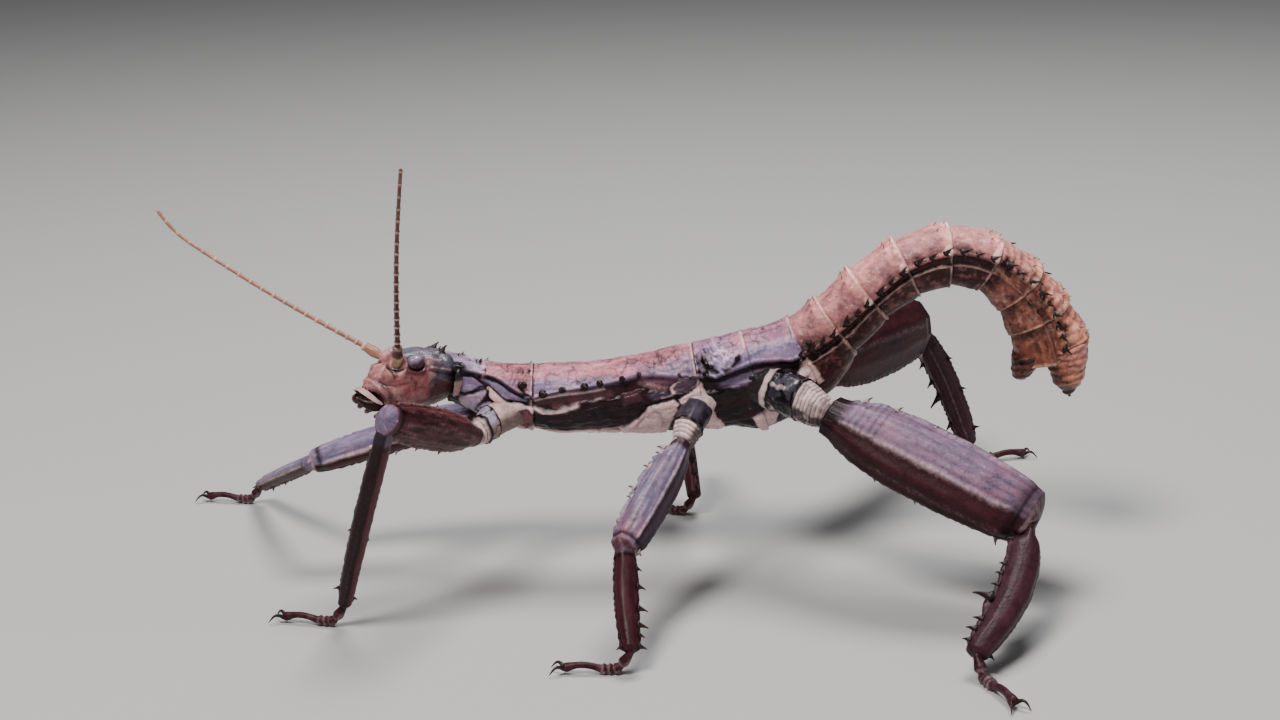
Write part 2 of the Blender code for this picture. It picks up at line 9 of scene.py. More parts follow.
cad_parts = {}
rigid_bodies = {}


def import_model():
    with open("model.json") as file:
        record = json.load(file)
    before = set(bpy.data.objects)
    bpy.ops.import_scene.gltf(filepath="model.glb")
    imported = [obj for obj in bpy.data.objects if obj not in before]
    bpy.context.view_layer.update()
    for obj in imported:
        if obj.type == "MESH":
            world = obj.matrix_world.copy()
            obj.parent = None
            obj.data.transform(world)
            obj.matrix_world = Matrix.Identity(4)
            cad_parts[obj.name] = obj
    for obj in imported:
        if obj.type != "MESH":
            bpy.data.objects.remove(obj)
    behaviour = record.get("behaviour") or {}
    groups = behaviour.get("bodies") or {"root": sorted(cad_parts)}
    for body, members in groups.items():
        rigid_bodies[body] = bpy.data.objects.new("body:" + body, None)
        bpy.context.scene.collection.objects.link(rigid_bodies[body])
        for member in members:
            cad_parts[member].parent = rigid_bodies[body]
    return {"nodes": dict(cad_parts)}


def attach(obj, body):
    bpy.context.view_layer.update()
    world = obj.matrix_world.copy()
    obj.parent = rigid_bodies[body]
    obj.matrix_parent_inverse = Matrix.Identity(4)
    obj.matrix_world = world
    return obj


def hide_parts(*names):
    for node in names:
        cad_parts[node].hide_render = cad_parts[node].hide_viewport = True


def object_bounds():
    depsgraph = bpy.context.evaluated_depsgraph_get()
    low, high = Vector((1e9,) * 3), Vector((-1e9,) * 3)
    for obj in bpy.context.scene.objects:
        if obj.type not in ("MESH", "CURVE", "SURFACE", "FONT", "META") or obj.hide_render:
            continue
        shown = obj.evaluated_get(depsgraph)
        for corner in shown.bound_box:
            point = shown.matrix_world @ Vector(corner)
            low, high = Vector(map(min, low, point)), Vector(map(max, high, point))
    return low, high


# A tree-lobster stick insect at rest, life-size. It faces -X, its left side is -Y, and +Z is up.
# Lengths in the dictionaries are in millimetres, and angles in degrees.
for thing in list(bpy.data.objects):  # the startup scene's own things
    bpy.data.objects.remove(thing)
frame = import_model()
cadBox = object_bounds()
mm = 0.001
spacing = 0.14  # between the points of a skin
ringCorners = 14  # corners of a trunk solid's section
print("frame loaded:", len(frame["nodes"]), "nodes")


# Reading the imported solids, in millimetres.
def cadTriangles(node):
    mesh = frame["nodes"][node].data
    mesh.calc_loop_triangles()
    points = np.empty(len(mesh.vertices) * 3, np.float32)
    mesh.vertices.foreach_get("co", points)
    faces = np.empty(len(mesh.loop_triangles) * 3, np.int32)
    mesh.loop_triangles.foreach_get("vertices", faces)
    return points.reshape(-1, 3).astype(float) / mm, faces.reshape(-1, 3)


def cadPoints(*nodes):
    return np.unique(np.round(np.concatenate([cadTriangles(node)[0] for node in nodes]), 3), axis=0)


def treeOf(node):
    points, faces = cadTriangles(node)
    return BVHTree.FromPolygons(points.tolist(), faces.tolist())


def facingEnd(node, *others, count=ringCorners):  # the corners that face the others, or away for count < 0
    points, there = cadPoints(node), cadPoints(*others)
    order = np.argsort(np.linalg.norm(points[:, None] - there[None], axis=2).min(axis=1))
    return points[order[:count] if count > 0 else order[count:]]


def unit(vector):
    return vector / np.linalg.norm(vector, axis=-1, keepdims=True)


def squareTo(vector, axis):
    return unit(vector - (vector @ axis) * axis)


def mainAxis(points, number, onward):  # a main axis of some points, the way that onward goes
    axis = np.linalg.svd(points - points.mean(axis=0))[2][number]
    return axis if axis @ onward > 0 else -axis


# Numbers on grids of points: rows run along a piece, and columns run round it.
def blurred(values, sigma, axis, wraps=False):
    if sigma < 0.3:
        return values
    reach = int(3 * sigma) + 1
    weights = np.exp(-0.5 * (np.arange(-reach, reach + 1) / sigma) ** 2)
    padding = [(0, 0)] * values.ndim
    padding[axis] = (reach, reach)
    padded = np.pad(values, padding, mode="wrap" if wraps else "edge")
    steps = np.arange(values.shape[axis])
    return sum(weight * padded.take(steps + step, axis) for step, weight in enumerate(weights / weights.sum()))


def ramp(value, low, high):
    share = np.clip((value - low) / (high - low), 0, 1)
    return share * share * (3 - 2 * share)


def hump(value, width):
    return np.exp(-(value / width) ** 2)


def turned(angle, centre):  # the smallest turn from one angle to another, in degrees
    return (angle - centre + 180) % 360 - 180


def sector(angle, first, second, soft):  # 1 between two angles, with soft ends
    return ramp(turned(angle, first), -soft, soft) * ramp(-turned(angle, second), -soft, soft)


def around(count):
    return np.arange(count) * 2 * math.pi / count


def rowsOf(row, count):
    return np.repeat(row[None], count, axis=0)


def fromLine(x, y, corners):  # distance to an open line
    nearest = np.full(x.shape, 1e9)
    for (x0, y0), (x1, y1) in zip(corners, corners[1:]):
        dx, dy = x1 - x0, y1 - y0
        share = np.clip(((x - x0) * dx + (y - y0) * dy) / (dx * dx + dy * dy), 0, 1)
        nearest = np.minimum(nearest, np.hypot(x - x0 - share * dx, y - y0 - share * dy))
    return nearest


def insideOf(x, y, corners):  # distance to an outline, positive inside it
    corners, inside = [*corners, corners[0]], np.zeros(x.shape, bool)
    for (x0, y0), (x1, y1) in zip(corners, corners[1:]):
        inside ^= ((y0 > y) != (y1 > y)) & (x < (x1 - x0) * (y - y0) / (y1 - y0 or 1e-9) + x0)
    return np.where(inside, 1, -1) * fromLine(x, y, corners)


def lumps(points, size, seed=0):  # smooth noise from -1 to 1, with features of this size
    place = points / size + seed * 17.13
    cell = np.floor(place).astype(np.int64)
    part = place - cell
    part = part * part * (3 - 2 * part)
    total = np.zeros(points.shape[:-1])
    for corner in range(8):
        offset = [corner & 1, corner >> 1 & 1, corner >> 2 & 1]
        key = sum((cell[..., k] + offset[k]) * factor for k, factor in enumerate((73856093, 19349663, 83492791)))
        key = (key ^ (key >> 13)) * 1274126177 & 0x7FFFFFFF
        level = ((key ^ (key >> 15)) & 0xFFFF) / 32767.5 - 1
        total += level * math.prod(part[..., k] if offset[k] else 1 - part[..., k] for k in range(3))
    return total


def noiseOn(points, first=0):  # rough noise on these points, with its seeds counted from the first
    def noise(size, seed, scale=1.0):
        place, seed = points * scale, first + seed
        return 0.65 * lumps(place, size, seed) + 0.35 * lumps(place, size / 2.3, seed + 3)
    return noise


class Tube:  # the line of centres and axes that a skin's radii stand on
    def __init__(self, centres, lefts, ups, angle):
        self.centres, self.lefts, self.ups, self.angle = centres, lefts, ups, angle

    def grid(self, radii):
        return (self.centres[:, None] + self.lefts[:, None] * (radii * np.cos(self.angle))[..., None]
                + self.ups[:, None] * (radii * np.sin(self.angle))[..., None])


def castRadii(tree, centres, acrosses, ups, angles, blur):
    radii = np.full((len(centres), len(angles)), np.nan)
    for row, (centre, across, up) in enumerate(zip(centres, acrosses, ups)):
        for step, angle in enumerate(angles):
            distance = tree.ray_cast(Vector(centre), Vector(across * math.cos(angle) + up * math.sin(angle)))[3]
            if distance is not None:
                radii[row, step] = distance
    rows = np.arange(len(centres))
    for step in range(len(angles)):
        known = ~np.isnan(radii[:, step])
        radii[:, step] = np.interp(rows, rows[known], radii[known, step]) if known.any() else np.nanmean(radii)
    return blurred(radii, blur, 1, wraps=True)


def refined(radii, rowsFrom, rowsTo, count):  # the same radii at more rows and columns
    closed = np.concatenate([radii, radii[:, :1]], axis=1)
    place = np.linspace(0, radii.shape[1], count, endpoint=False)
    base = np.floor(place).astype(int)
    finer = closed[:, base] * (1 - place + base) + closed[:, base + 1] * (place - base)
    return np.stack([np.interp(rowsTo, rowsFrom, finer[:, step]) for step in range(count)], axis=1)


# The masks of a skin: numbers at each of its points, from which its look makes the colours.
maskNames = ("flank", "pale", "ink", "blush", "tone")


class Paint:
    def __init__(self, shape):
        for name in maskNames:
            setattr(self, name, np.full(shape, 0.5 if name in ("blush", "tone") else 0.0))

    def most(self, name, *amounts):  # the highest of what is there and these
        for amount in amounts:
            setattr(self, name, np.maximum(getattr(self, name), amount))

    def add(self, name, amount, lowest=0.0):
        setattr(self, name, np.clip(getattr(self, name) + amount, lowest, 1))

    def turn(self, share, keptTone=0.0, **values):  # towards these values, all the way where share is 1
        for name, value in values.items():
            part = share * (1 - keptTone) if name == "tone" else share
            setattr(self, name, getattr(self, name) * (1 - part) + value * part)


def tint(flank, blush, tone, pale=0.0):
    return {"flank": flank, "blush": blush, "tone": tone, "pale": pale}


def dress(piece, replaced):
    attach(piece, "root")
    if replaced:
        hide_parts(*replaced)


def makePiece(name, points, faces, paint, look, replaced=()):
    mesh = bpy.data.meshes.new(name)
    mesh.from_pydata((points * mm).tolist(), [], faces)
    for mask in maskNames:
        values = mesh.attributes.new(mask, "FLOAT", "POINT")
        values.data.foreach_set("value", getattr(paint, mask).astype(np.float32))
    mesh.shade_smooth()
    mesh.materials.append(looks[look])
    piece = bpy.data.objects.new(name, mesh)
    bpy.context.scene.collection.objects.link(piece)
    dress(piece, replaced)


def skinPiece(name, grid, paint, look, slotName, *replaced):  # a closed skin from a grid of points
    rows, count = grid.shape[:2]
    points = np.concatenate([grid.reshape(-1, 3), grid[:1].mean(axis=1), grid[-1:].mean(axis=1)])
    row, step = np.meshgrid(np.arange(rows - 1), np.arange(count), indexing="ij")
    after = (step + 1) % count
    quads = np.stack([row * count + step, row * count + after, (row + 1) * count + after,
                      (row + 1) * count + step], axis=-1).reshape(-1, 4)
    column, last, pole = np.arange(count), (rows - 1) * count, np.full(count, rows * count)
    onward = (column + 1) % count
    caps = np.concatenate([np.stack([onward, column, pole], axis=1),
                           np.stack([last + column, last + onward, pole + 1], axis=1)])
    a, b, c = (points[quads[:, k]] - points.mean(axis=0) for k in (0, 1, 2))
    if (np.cross(a, b) * c).sum() < 0:  # the faces would point inwards
        quads, caps = quads[:, ::-1], caps[:, ::-1]
    for mask in maskNames:
        values = getattr(paint, mask)
        setattr(paint, mask, np.append(values, (values[0].mean(), values[-1].mean())))
    makePiece(name, points, quads.tolist() + caps.tolist(), paint, look, replaced)


# Materials.
def addNode(tree, kind, values=None, **settings):
    node = tree.nodes.new("ShaderNode" + kind)
    for key, value in settings.items():
        setattr(node, key, value)
    for key, value in (values or {}).items():
        if isinstance(value, bpy.types.NodeSocket):
            tree.links.new(value, node.inputs[key])
        else:
            node.inputs[key].default_value = value
    return node


def mathOf(tree, operation, *values):
    return addNode(tree, "Math", dict(enumerate(values)), operation=operation).outputs[0]


def mixOf(tree, factor, a, b, blend="MIX"):
    return addNode(tree, "Mix", {0: factor, 6: a, 7: b}, data_type="RGBA", blend_type=blend,
                   clamp_factor=True).outputs[2]


def noiseOf(tree, where, scale, detail=3.0, rough=0.55):
    values = {"Vector": where, "Scale": scale, "Detail": detail, "Roughness": rough}
    return addNode(tree, "TexNoise", values).outputs["Fac"]


toneColours = ("Back", "Blush", "Side", "Pale", "Ink")


def makeShellTones():  # colours of a plate from its painted masks and fine mottling
    group = bpy.data.node_groups.new("shellTones", "ShaderNodeTree")
    sockets = [(label, "INPUT", "Color") for label in toneColours] + [
        ("Mottle", "INPUT", "Float"), ("Gloss", "INPUT", "Float"), ("Colour", "OUTPUT", "Color"),
        ("Roughness", "OUTPUT", "Float"), ("Height", "OUTPUT", "Float")]
    for label, way, kind in sockets:
        group.interface.new_socket(name=label, in_out=way, socket_type="NodeSocket" + kind)
    given, out = group.nodes.new("NodeGroupInput").outputs, group.nodes.new("NodeGroupOutput")
    where = addNode(group, "TexCoord").outputs["Object"]
    masks = {name: addNode(group, "Attribute", attribute_name=name).outputs["Fac"] for name in maskNames}
    broad, fine = noiseOf(group, where, 520.0, 4.0, 0.6), noiseOf(group, where, 2600.0, 3.0, 0.6)

    def calc(operation, *values):
        return mathOf(group, operation, *values)

    def swung(noise, amount, level):  # a level with noise round it
        return calc("MULTIPLY_ADD", calc("SUBTRACT", noise, 0.5), amount, level)

    colour = mixOf(group, swung(broad, given["Mottle"], masks["blush"]), given["Back"], given["Blush"])
    colour = mixOf(group, masks["flank"], colour, given["Side"])
    light = swung(broad, given["Mottle"], masks["tone"])
    light = calc("MULTIPLY_ADD", swung(fine, calc("MULTIPLY", given["Mottle"], 0.7), light), 1.3, 0.35)
    patchy = swung(noiseOf(group, where, 1300.0, 5.0, 0.7), 0.55, masks["pale"])
    patchy = calc("MULTIPLY", patchy, calc("GREATER_THAN", masks["pale"], 0.02))
    colour = mixOf(group, patchy, colour, given["Pale"])
    grey = addNode(group, "CombineColor", {0: light, 1: light, 2: light}).outputs[0]
    colour = mixOf(group, 1.0, colour, grey, "MULTIPLY")
    colour = mixOf(group, masks["ink"], colour, given["Ink"])
    rough = calc("MULTIPLY_ADD", masks["pale"], 0.14, swung(broad, 0.35, given["Gloss"]))
    rough = calc("MULTIPLY_ADD", masks["ink"], -0.12, rough)
    height = calc("MULTIPLY", noiseOf(group, where, 6500.0, 2.0), 0.25)
    height = calc("ADD", calc("MULTIPLY_ADD", fine, 0.6, height), broad)
    for label, socket in (("Colour", colour), ("Roughness", rough), ("Height", height)):
        group.links.new(socket, out.inputs[label])
    return group


def newLook(name, **levels):  # levels go to the shader's sockets, named without their spaces
    look = bpy.data.materials.new(name)
    look.use_nodes = True
    shader = look.node_tree.nodes["Principled BSDF"]
    for socket in shader.inputs:
        if socket.name.replace(" ", "") in levels:
            socket.default_value = levels[socket.name.replace(" ", "")]
    return look, look.node_tree, shader


def linkLook(tree, shader, colour, height, distance, strength):
    tree.links.new(colour, shader.inputs["Base Color"])
    lift = addNode(tree, "Bump", {"Height": height, "Distance": distance * mm, "Strength": strength})
    tree.links.new(lift.outputs[0], shader.inputs["Normal"])


def shellLook(name, *colours, gloss, mottle=0.5, bump=0.06, coat=0.2, specular=0.38):
    look, tree, shader = newLook(name, CoatWeight=coat, CoatRoughness=0.25, SpecularIORLevel=specular)
    tones = tree.nodes.new("ShaderNodeGroup")
    tones.node_tree = shellTones
    for label, colour in zip(toneColours, colours):
        tones.inputs[label].default_value = (*colour, 1)
    tones.inputs["Gloss"].default_value, tones.inputs["Mottle"].default_value = gloss, mottle
    linkLook(tree, shader, tones.outputs["Colour"], tones.outputs["Height"], bump, 1.0)
    tree.links.new(tones.outputs["Roughness"], shader.inputs["Roughness"])
    return look


def eyeLook():  # a glossy dark bead with a pale cap of light in its upper half, and fine cells
    look, tree, shader = newLook("eyeBead", Roughness=0.16, CoatWeight=0.35, CoatRoughness=0.05,
                                 SpecularIORLevel=0.3)
    height = addNode(tree, "Attribute", attribute_name="tone").outputs["Fac"]
    where = addNode(tree, "TexCoord").outputs["Object"]
    cells = addNode(tree, "TexVoronoi", {"Vector": where, "Scale": 9000.0}).outputs["Distance"]
    colour = mixOf(tree, height, (0.075, 0.014, 0.042, 1), (0.46, 0.36, 0.50, 1))
    colour = mixOf(tree, mathOf(tree, "MULTIPLY", cells, 0.5), colour, (0.05, 0.03, 0.05, 1))
    linkLook(tree, shader, colour, cells, 0.02, 0.6)
    return look


shellTones = makeShellTones()
looks = {look.name: look for look in (  # colours of the back, blush, side, pale and ink, then the finish
    shellLook("thoraxShell", (0.250, 0.190, 0.330), (0.47, 0.155, 0.190), (0.026, 0.004, 0.007),
              (0.70, 0.47, 0.46), (0.003, 0.001, 0.003), gloss=0.38, mottle=0.9, bump=0.12, coat=0.12, specular=0.2),
    shellLook("abdomenShell", (0.23, 0.098, 0.112), (0.52, 0.200, 0.185), (0.060, 0.013, 0.013),
              (0.78, 0.50, 0.45), (0.004, 0.001, 0.001), gloss=0.42, mottle=1.0, bump=0.12, coat=0.12, specular=0.2),
    shellLook("tailShell", (0.46, 0.185, 0.165), (0.50, 0.180, 0.115), (0.11, 0.028, 0.020),
              (0.60, 0.38, 0.28), (0.008, 0.002, 0.002), gloss=0.42, mottle=1.2, bump=0.15, coat=0.15, specular=0.22),
    shellLook("headShell", (0.100, 0.097, 0.130), (0.22, 0.062, 0.064), (0.038, 0.007, 0.008),
              (0.58, 0.29, 0.28), (0.004, 0.002, 0.005), gloss=0.33, mottle=0.95, bump=0.1, specular=0.28),
    shellLook("mouthShell", (0.22, 0.09, 0.10), (0.22, 0.060, 0.030), (0.030, 0.006, 0.006),
              (0.62, 0.40, 0.40), (0.004, 0.002, 0.002), gloss=0.44, coat=0.05, specular=0.2),
    shellLook("legShell", (0.185, 0.150, 0.250), (0.26, 0.075, 0.090), (0.040, 0.0050, 0.0075),
              (0.62, 0.44, 0.46), (0.004, 0.002, 0.004), gloss=0.46, mottle=0.8, coat=0.03, specular=0.15),
    shellLook("jointSkin", (0.60, 0.45, 0.41), (0.62, 0.32, 0.24), (0.11, 0.060, 0.070),
              (0.75, 0.63, 0.56), (0.008, 0.006, 0.010), gloss=0.46, coat=0.1),
    shellLook("hipSkin", (0.22, 0.18, 0.28), (0.52, 0.32, 0.29), (0.026, 0.021, 0.030),
              (0.70, 0.54, 0.51), (0.003, 0.002, 0.004), gloss=0.36, coat=0.1, specular=0.2),
    shellLook("feelerShell", (0.36, 0.15, 0.095), (0.065, 0.008, 0.008), (0.12, 0.020, 0.018),
              (0.68, 0.50, 0.36), (0.010, 0.003, 0.003), gloss=0.42),
    shellLook("thornShell", (0.016, 0.006, 0.008), (0.035, 0.010, 0.008), (0.02, 0.01, 0.01),
              (0.60, 0.42, 0.38), (0.008, 0.005, 0.008), gloss=0.42, coat=0.05, specular=0.25),
    eyeLook())}
print("materials made:", len(looks))


# The trunk: one run of plates from the neck to the tail, read from the facing ends of the solids.
plateNames = ["prothorax", "mesothorax", "metathorax"] + ["abdomen_%d" % number for number in range(1, 10)]


def ringFrame(ring, onward):  # place on the side line, run, left and up of one joint of the trunk
    run, corners = mainAxis(ring, 2, onward), ring - ring.mean(axis=0)
    up = unit(np.cross(run, (0, 1, 0)))
    level = np.cross(run, up)

    def lopsided(left):  # how far the ring is from its own mirror image
        mirrored = corners - 2 * np.outer(corners @ left, left)
        return np.linalg.norm(mirrored[:, None] - corners[None], axis=2).min(axis=1).sum()

    rolls = np.radians(np.arange(-20, 20.5, 0.5))
    left = min((level * math.cos(roll) + up * math.sin(roll) for roll in rolls), key=lopsided)
    reach = corners @ left
    return ring[[reach.argmax(), reach.argmin()]].mean(axis=0), run, left, np.cross(left, run)


ringsOfTrunk = [facingEnd("prothorax", "neck")]
ringsOfTrunk += [facingEnd(name, following) for name, following in zip(plateNames, plateNames[1:])]
ringsOfTrunk.append(facingEnd("abdomen_9", "abdomen_10", "genital_plate"))
onwards = [there.mean(axis=0) - here.mean(axis=0) for here, there in zip(ringsOfTrunk, ringsOfTrunk[1:])]
joints = [ringFrame(ring, onward) for ring, onward in zip(ringsOfTrunk, onwards + onwards[-1:])]
plateLengths = [np.linalg.norm(there[0] - here[0]) for here, there in zip(joints, joints[1:])]


def trunkLine(index, share):  # places and axes along one plate, with its ends carried on straight
    (start, run0, left0, _), (end, run1, left1, _) = joints[index:index + 2]
    length, inside = plateLengths[index], np.clip(share, 0, 1)[:, None]
    squared, cubed = inside ** 2, inside ** 3
    centres = (start * (2 * cubed - 3 * squared + 1) + run0 * length * (cubed - 2 * squared + inside)
               + end * (3 * squared - 2 * cubed) + run1 * length * (cubed - squared))
    runs = unit(run0 + (run1 - run0) * inside)
    lefts = left0 + (left1 - left0) * inside
    lefts = unit(lefts - (lefts * runs).sum(axis=1)[:, None] * runs)
    return centres + runs * (share[:, None] - inside) * length, runs, lefts, np.cross(lefts, runs)


trunkSettings = {"turns": 96, "stations": 16, "firstStation": 0.03, "lastStation": 0.97, "swell": 1.012, "drop": 0.88,
                 "blurRound": 3.2, "blurAlong": 0.7}


def trunkGrid(index, lip, sink):  # a plate's surface in the round, with its coordinates
    length, ends = plateLengths[index], (trunkSettings["firstStation"], trunkSettings["lastStation"])
    heights = [(ringsOfTrunk[k] - joints[k][0]) @ joints[k][3] for k in (index, index + 1)]
    shifts = [(height.max() - np.ptp(height) / 2) * trunkSettings["drop"] for height in heights]

    def middles(share):  # the rays start below the side line
        centres, runs, lefts, ups = trunkLine(index, share)
        shift = shifts[0] + (shifts[1] - shifts[0]) * np.clip(share, 0, 1)
        return centres + ups * shift[:, None], lefts, ups, runs, shift

    stations = np.linspace(*ends, trunkSettings["stations"])
    radii = castRadii(treeOf(plateNames[index]), *middles(stations)[:3], around(trunkSettings["turns"]),
                      trunkSettings["blurRound"]) * trunkSettings["swell"]
    share = np.linspace(-lip / length, 1.0, int((length + lip) / spacing) + 2)
    count = int(2 * math.pi * radii.mean() / spacing / 1.15)
    radii = refined(radii, stations, np.clip(share, *ends), count)
    radii = blurred(radii, trunkSettings["blurAlong"] / spacing, 0)
    radii -= (sink * (1 - ramp(share * length, -0.25, 0.25)))[:, None]
    centres, lefts, ups, runs, shift = middles(share)
    tube = Tube(centres, lefts, ups, around(count))
    front = np.repeat(share[:, None] * length, count, axis=1)
    return tube, radii, runs, front, radii * np.cos(tube.angle), radii * np.sin(tube.angle) + shift[:, None]


rearRim = ((0.05, 0.10), (0.10, 0.30), (0.12, 0.75), (-0.5, 1.25))  # how far on and inwards each row goes


def carriedOn(values):  # the last row again, for the rows of the rear rim
    return np.concatenate([values, np.repeat(values[-1:], len(rearRim), axis=0)])


def curlRear(tube, radii, runs, paint):
    onward, inward = np.cumsum(rearRim, axis=0).T[..., None]
    centres, radii = carriedOn(tube.centres), carriedOn(radii)
    centres[-len(rearRim):] += runs[-1] * onward
    radii[-len(rearRim):] -= inward
    for name in maskNames:
        setattr(paint, name, carriedOn(getattr(paint, name)))
    return Tube(centres, carriedOn(tube.lefts), carriedOn(tube.ups), tube.angle), radii


# The margin of the back on each plate of the thorax: share of the plate's length, and height.
plateEdges = {
    "prothorax": ((0, 1.75), (0.35, 1.7), (0.50, 1.65), (0.58, 1.4), (0.75, 0.6), (0.88, 0.05), (1, -0.1)),
    "mesothorax": ((0, -0.6), (0.09, 0.1), (0.24, 0.55), (0.41, 0.85), (0.52, 1.0), (0.64, 1.5), (0.73, 1.2),
        (0.89, 0.2), (1, -0.2)),
    "metathorax": ((0, -0.3), (0.17, -0.6), (0.34, -1.1), (0.67, -0.6), (1, -0.3)),
    "abdomen_1": ((0, -0.3), (0.2, -0.3), (0.6, -1.0), (0.75, -1.5), (1, -1.5)),
}
# The same for the abdomen, at the ends of its plates from the second on, and the strip under it.
abdomenEdges = (-1.5, -1.4, -1.25, -0.4, 0.25, 0.75, 1.3, 0.7, 0.2)
abdomenStrips = (-3.2, -2.8, -2.2, -1.7, -1.6, -1.0, -0.4, -0.8, -1.2)

# Patches on the thorax's sides, the same on both: an outline of places along the plate and heights,
# what the masks become there, how far it stands out, and the ink of its outline.
purple, lilac, cream = tint(0.0, 0.05, 0.34), tint(0.0, 0.0, 0.62, 0.22), tint(0.0, 0.3, 0.62, 0.88)
rosy, smoke, rust = tint(0.0, 1.0, 0.60, 0.40), tint(0.45, 0.0, 0.42), tint(0.55, 1.0, 0.50)
black = {"flank": 1.0, "tone": 0.1, "pale": 0.0}
thoraxPatches = {
    "prothorax": (
        (((5.0, 0.4), (5.9, 0.3), (7.2, -0.9), (8.5, -1.7), (9.9, -1.5), (10.9, -2.0), (12.5, -2.4),
         (12.5, -4.6), (7.6, -4.6), (7.5, -4.2), (6.9, -2.5), (5.2, -1.6)), cream, 0.15, 0.0),
        (((7.6, -3.9), (12.5, -3.3), (12.5, -9), (7.0, -9)), rosy, 0.05, 0.0),
        (((0.3, 1.3), (2.5, 1.5), (3.5, 1.0), (4.3, 0.5), (4.1, 0.1), (2.5, -1.0), (1.5, -1.5), (0.3, -0.9)),
         purple, 0.25, 0.9),
        (((3.4, 1.5), (4.5, 1.6), (6.2, 1.5), (7.5, 0.9), (8.9, 0.1), (9.9, -0.4), (11.3, -0.9), (10.9, -1.4),
         (9.9, -1.3), (7.9, -1.4), (6.2, -0.2), (5.2, 0.6), (4.5, 1.0)), purple, 0.22, 0.7),
        (((0.6, -2.2), (2.5, -1.4), (4.9, -0.1), (4.9, -1.2), (4.5, -1.9), (3.2, -4.3), (0.8, -3.6)), lilac,
         0.25, 0.9),
        (((3.2, -4.0), (3.9, -2.8), (5.5, -2.0), (6.2, -2.4), (6.9, -4.0), (5.9, -4.8), (4.9, -4.6)), lilac,
         0.2, 0.8),
        (((9.4, -3.5), (10.0, -2.7), (11.0, -2.5), (11.9, -3.2), (11.9, -4.9), (11.0, -5.9), (9.9, -5.3)),
         tint(0.72, 1.0, 0.55), -0.35, 0.9),
    ),
    "mesothorax": (
        (((0.4, -0.9), (6.0, 0.0), (12.0, 0.2), (12.5, -1.2), (7.5, -1.5), (4.0, -2.3), (0.6, -2.0)),
         tint(0.84, 1.0, 0.42), 0.0, 0.0),
        (((16.9, 1.15), (22.7, 0.0), (22.0, -0.5), (16.4, 0.6)), rust, -0.1, 0.0),
        (((13.6, -0.8), (16.2, -0.8), (16.8, -2.6), (13.9, -3.0)), tint(0.86, 1.0, 0.5), 0.2, 0.0),
        (((16.7, 0.3), (18.5, 0.1), (21.0, -1.0), (20.5, -1.6), (18.3, -0.8)), tint(0.62, 1.0, 0.5, 0.12), 0.25,
         0.0),
        (((17.4, -1.6), (20.2, -1.6), (21.2, -2.6), (18.4, -3.0)), tint(0.72, 0.0, 0.4), 0.2, 0.0),
        (((12.6, -7.0), (15.6, -5.6), (17.4, -3.8), (19.3, -3.4), (21.3, -3.2), (22.2, -4.3), (21.0, -6.2),
         (19.3, -9.5), (14.0, -9.5)), cream, 0.35, 0.5),
        (((21.9, -3.3), (24.2, -2.5), (25.2, -1.2), (27, -0.9), (27, -9.9), (25.2, -9.9), (24.6, -5.8),
         (22.3, -4.6)), cream, 0.30, 0.3),
        (((20.9, -1.1), (22.4, 0.0), (24.4, 0.25), (26, 0.0), (25.6, -1.2), (24.6, -2.1), (22.7, -2.6),
         (21.0, -2.4)), cream, 0.35, 0.9),
        (((21.5, -1.3), (22.5, -0.35), (24.3, -0.05), (25.5, -0.4), (24.6, -1.75), (22.9, -2.35),
         (21.6, -2.15)), tint(0.82, 0.0, 0.5), 0.10, 0.8),
    ),
    "metathorax": (
        (((-2, -1.0), (0.4, -1.1), (0.8, -3.6), (1.2, -5.8), (1.6, -7.6), (2.4, -9.6), (1.8, -10.5),
         (-2, -10.5)), cream, 0.30, 0.3),
        (((2.7, -1.7), (5.5, -1.3), (10, -1.1), (10, -4.0), (7.2, -3.2), (4.5, -2.9), (3.0, -2.5)), smoke, 0.2,
         0.0),
        (((6.4, -9.2), (10, -8.0), (10, -12.5), (7.2, -12.5)), cream, 0.3, 0.4),
    ),
    "abdomen_1": (
        (((-2, -1.0), (3.0, -1.5), (5.3, -2.7), (5.4, -3.5), (4.0, -4.6), (2.0, -5.9), (0.7, -4.4), (-2, -3.8)),
         smoke, 0.2, 0.0),
        (((5.0, -4.7), (3.4, -5.6), (1.5, -7.0), (0.2, -8.2), (-2, -8.8), (-2, -12), (1.4, -10.8), (2.2, -8.8),
         (3.6, -7.3), (4.9, -6.0)), cream, 0.35, 0.6),
        (((7.3, -2.0), (6.8, -3.2), (4.9, -5.2), (6.3, -4.8), (8.1, -6.6), (10, -6.6), (10, -2.0)), cream, 0.3,
         0.5),
    ),
    "abdomen_7": (
        (((1.9, 0.5), (2.8, 0.6), (2.9, 0.0), (2.0, -0.1)), black, -0.1, 0.9),
    ),
    "abdomen_8": (
        (((3.2, 0.5), (4.4, 0.5), (4.5, -0.3), (3.3, -0.5)), black, -0.1, 0.9),
    ),
    "abdomen_2": (
        (((-2, -2.0), (0.3, -1.9), (0.8, -4.0), (1.0, -7.0), (-2, -7.0)), cream, 0.3, 0.5),
    ),
}
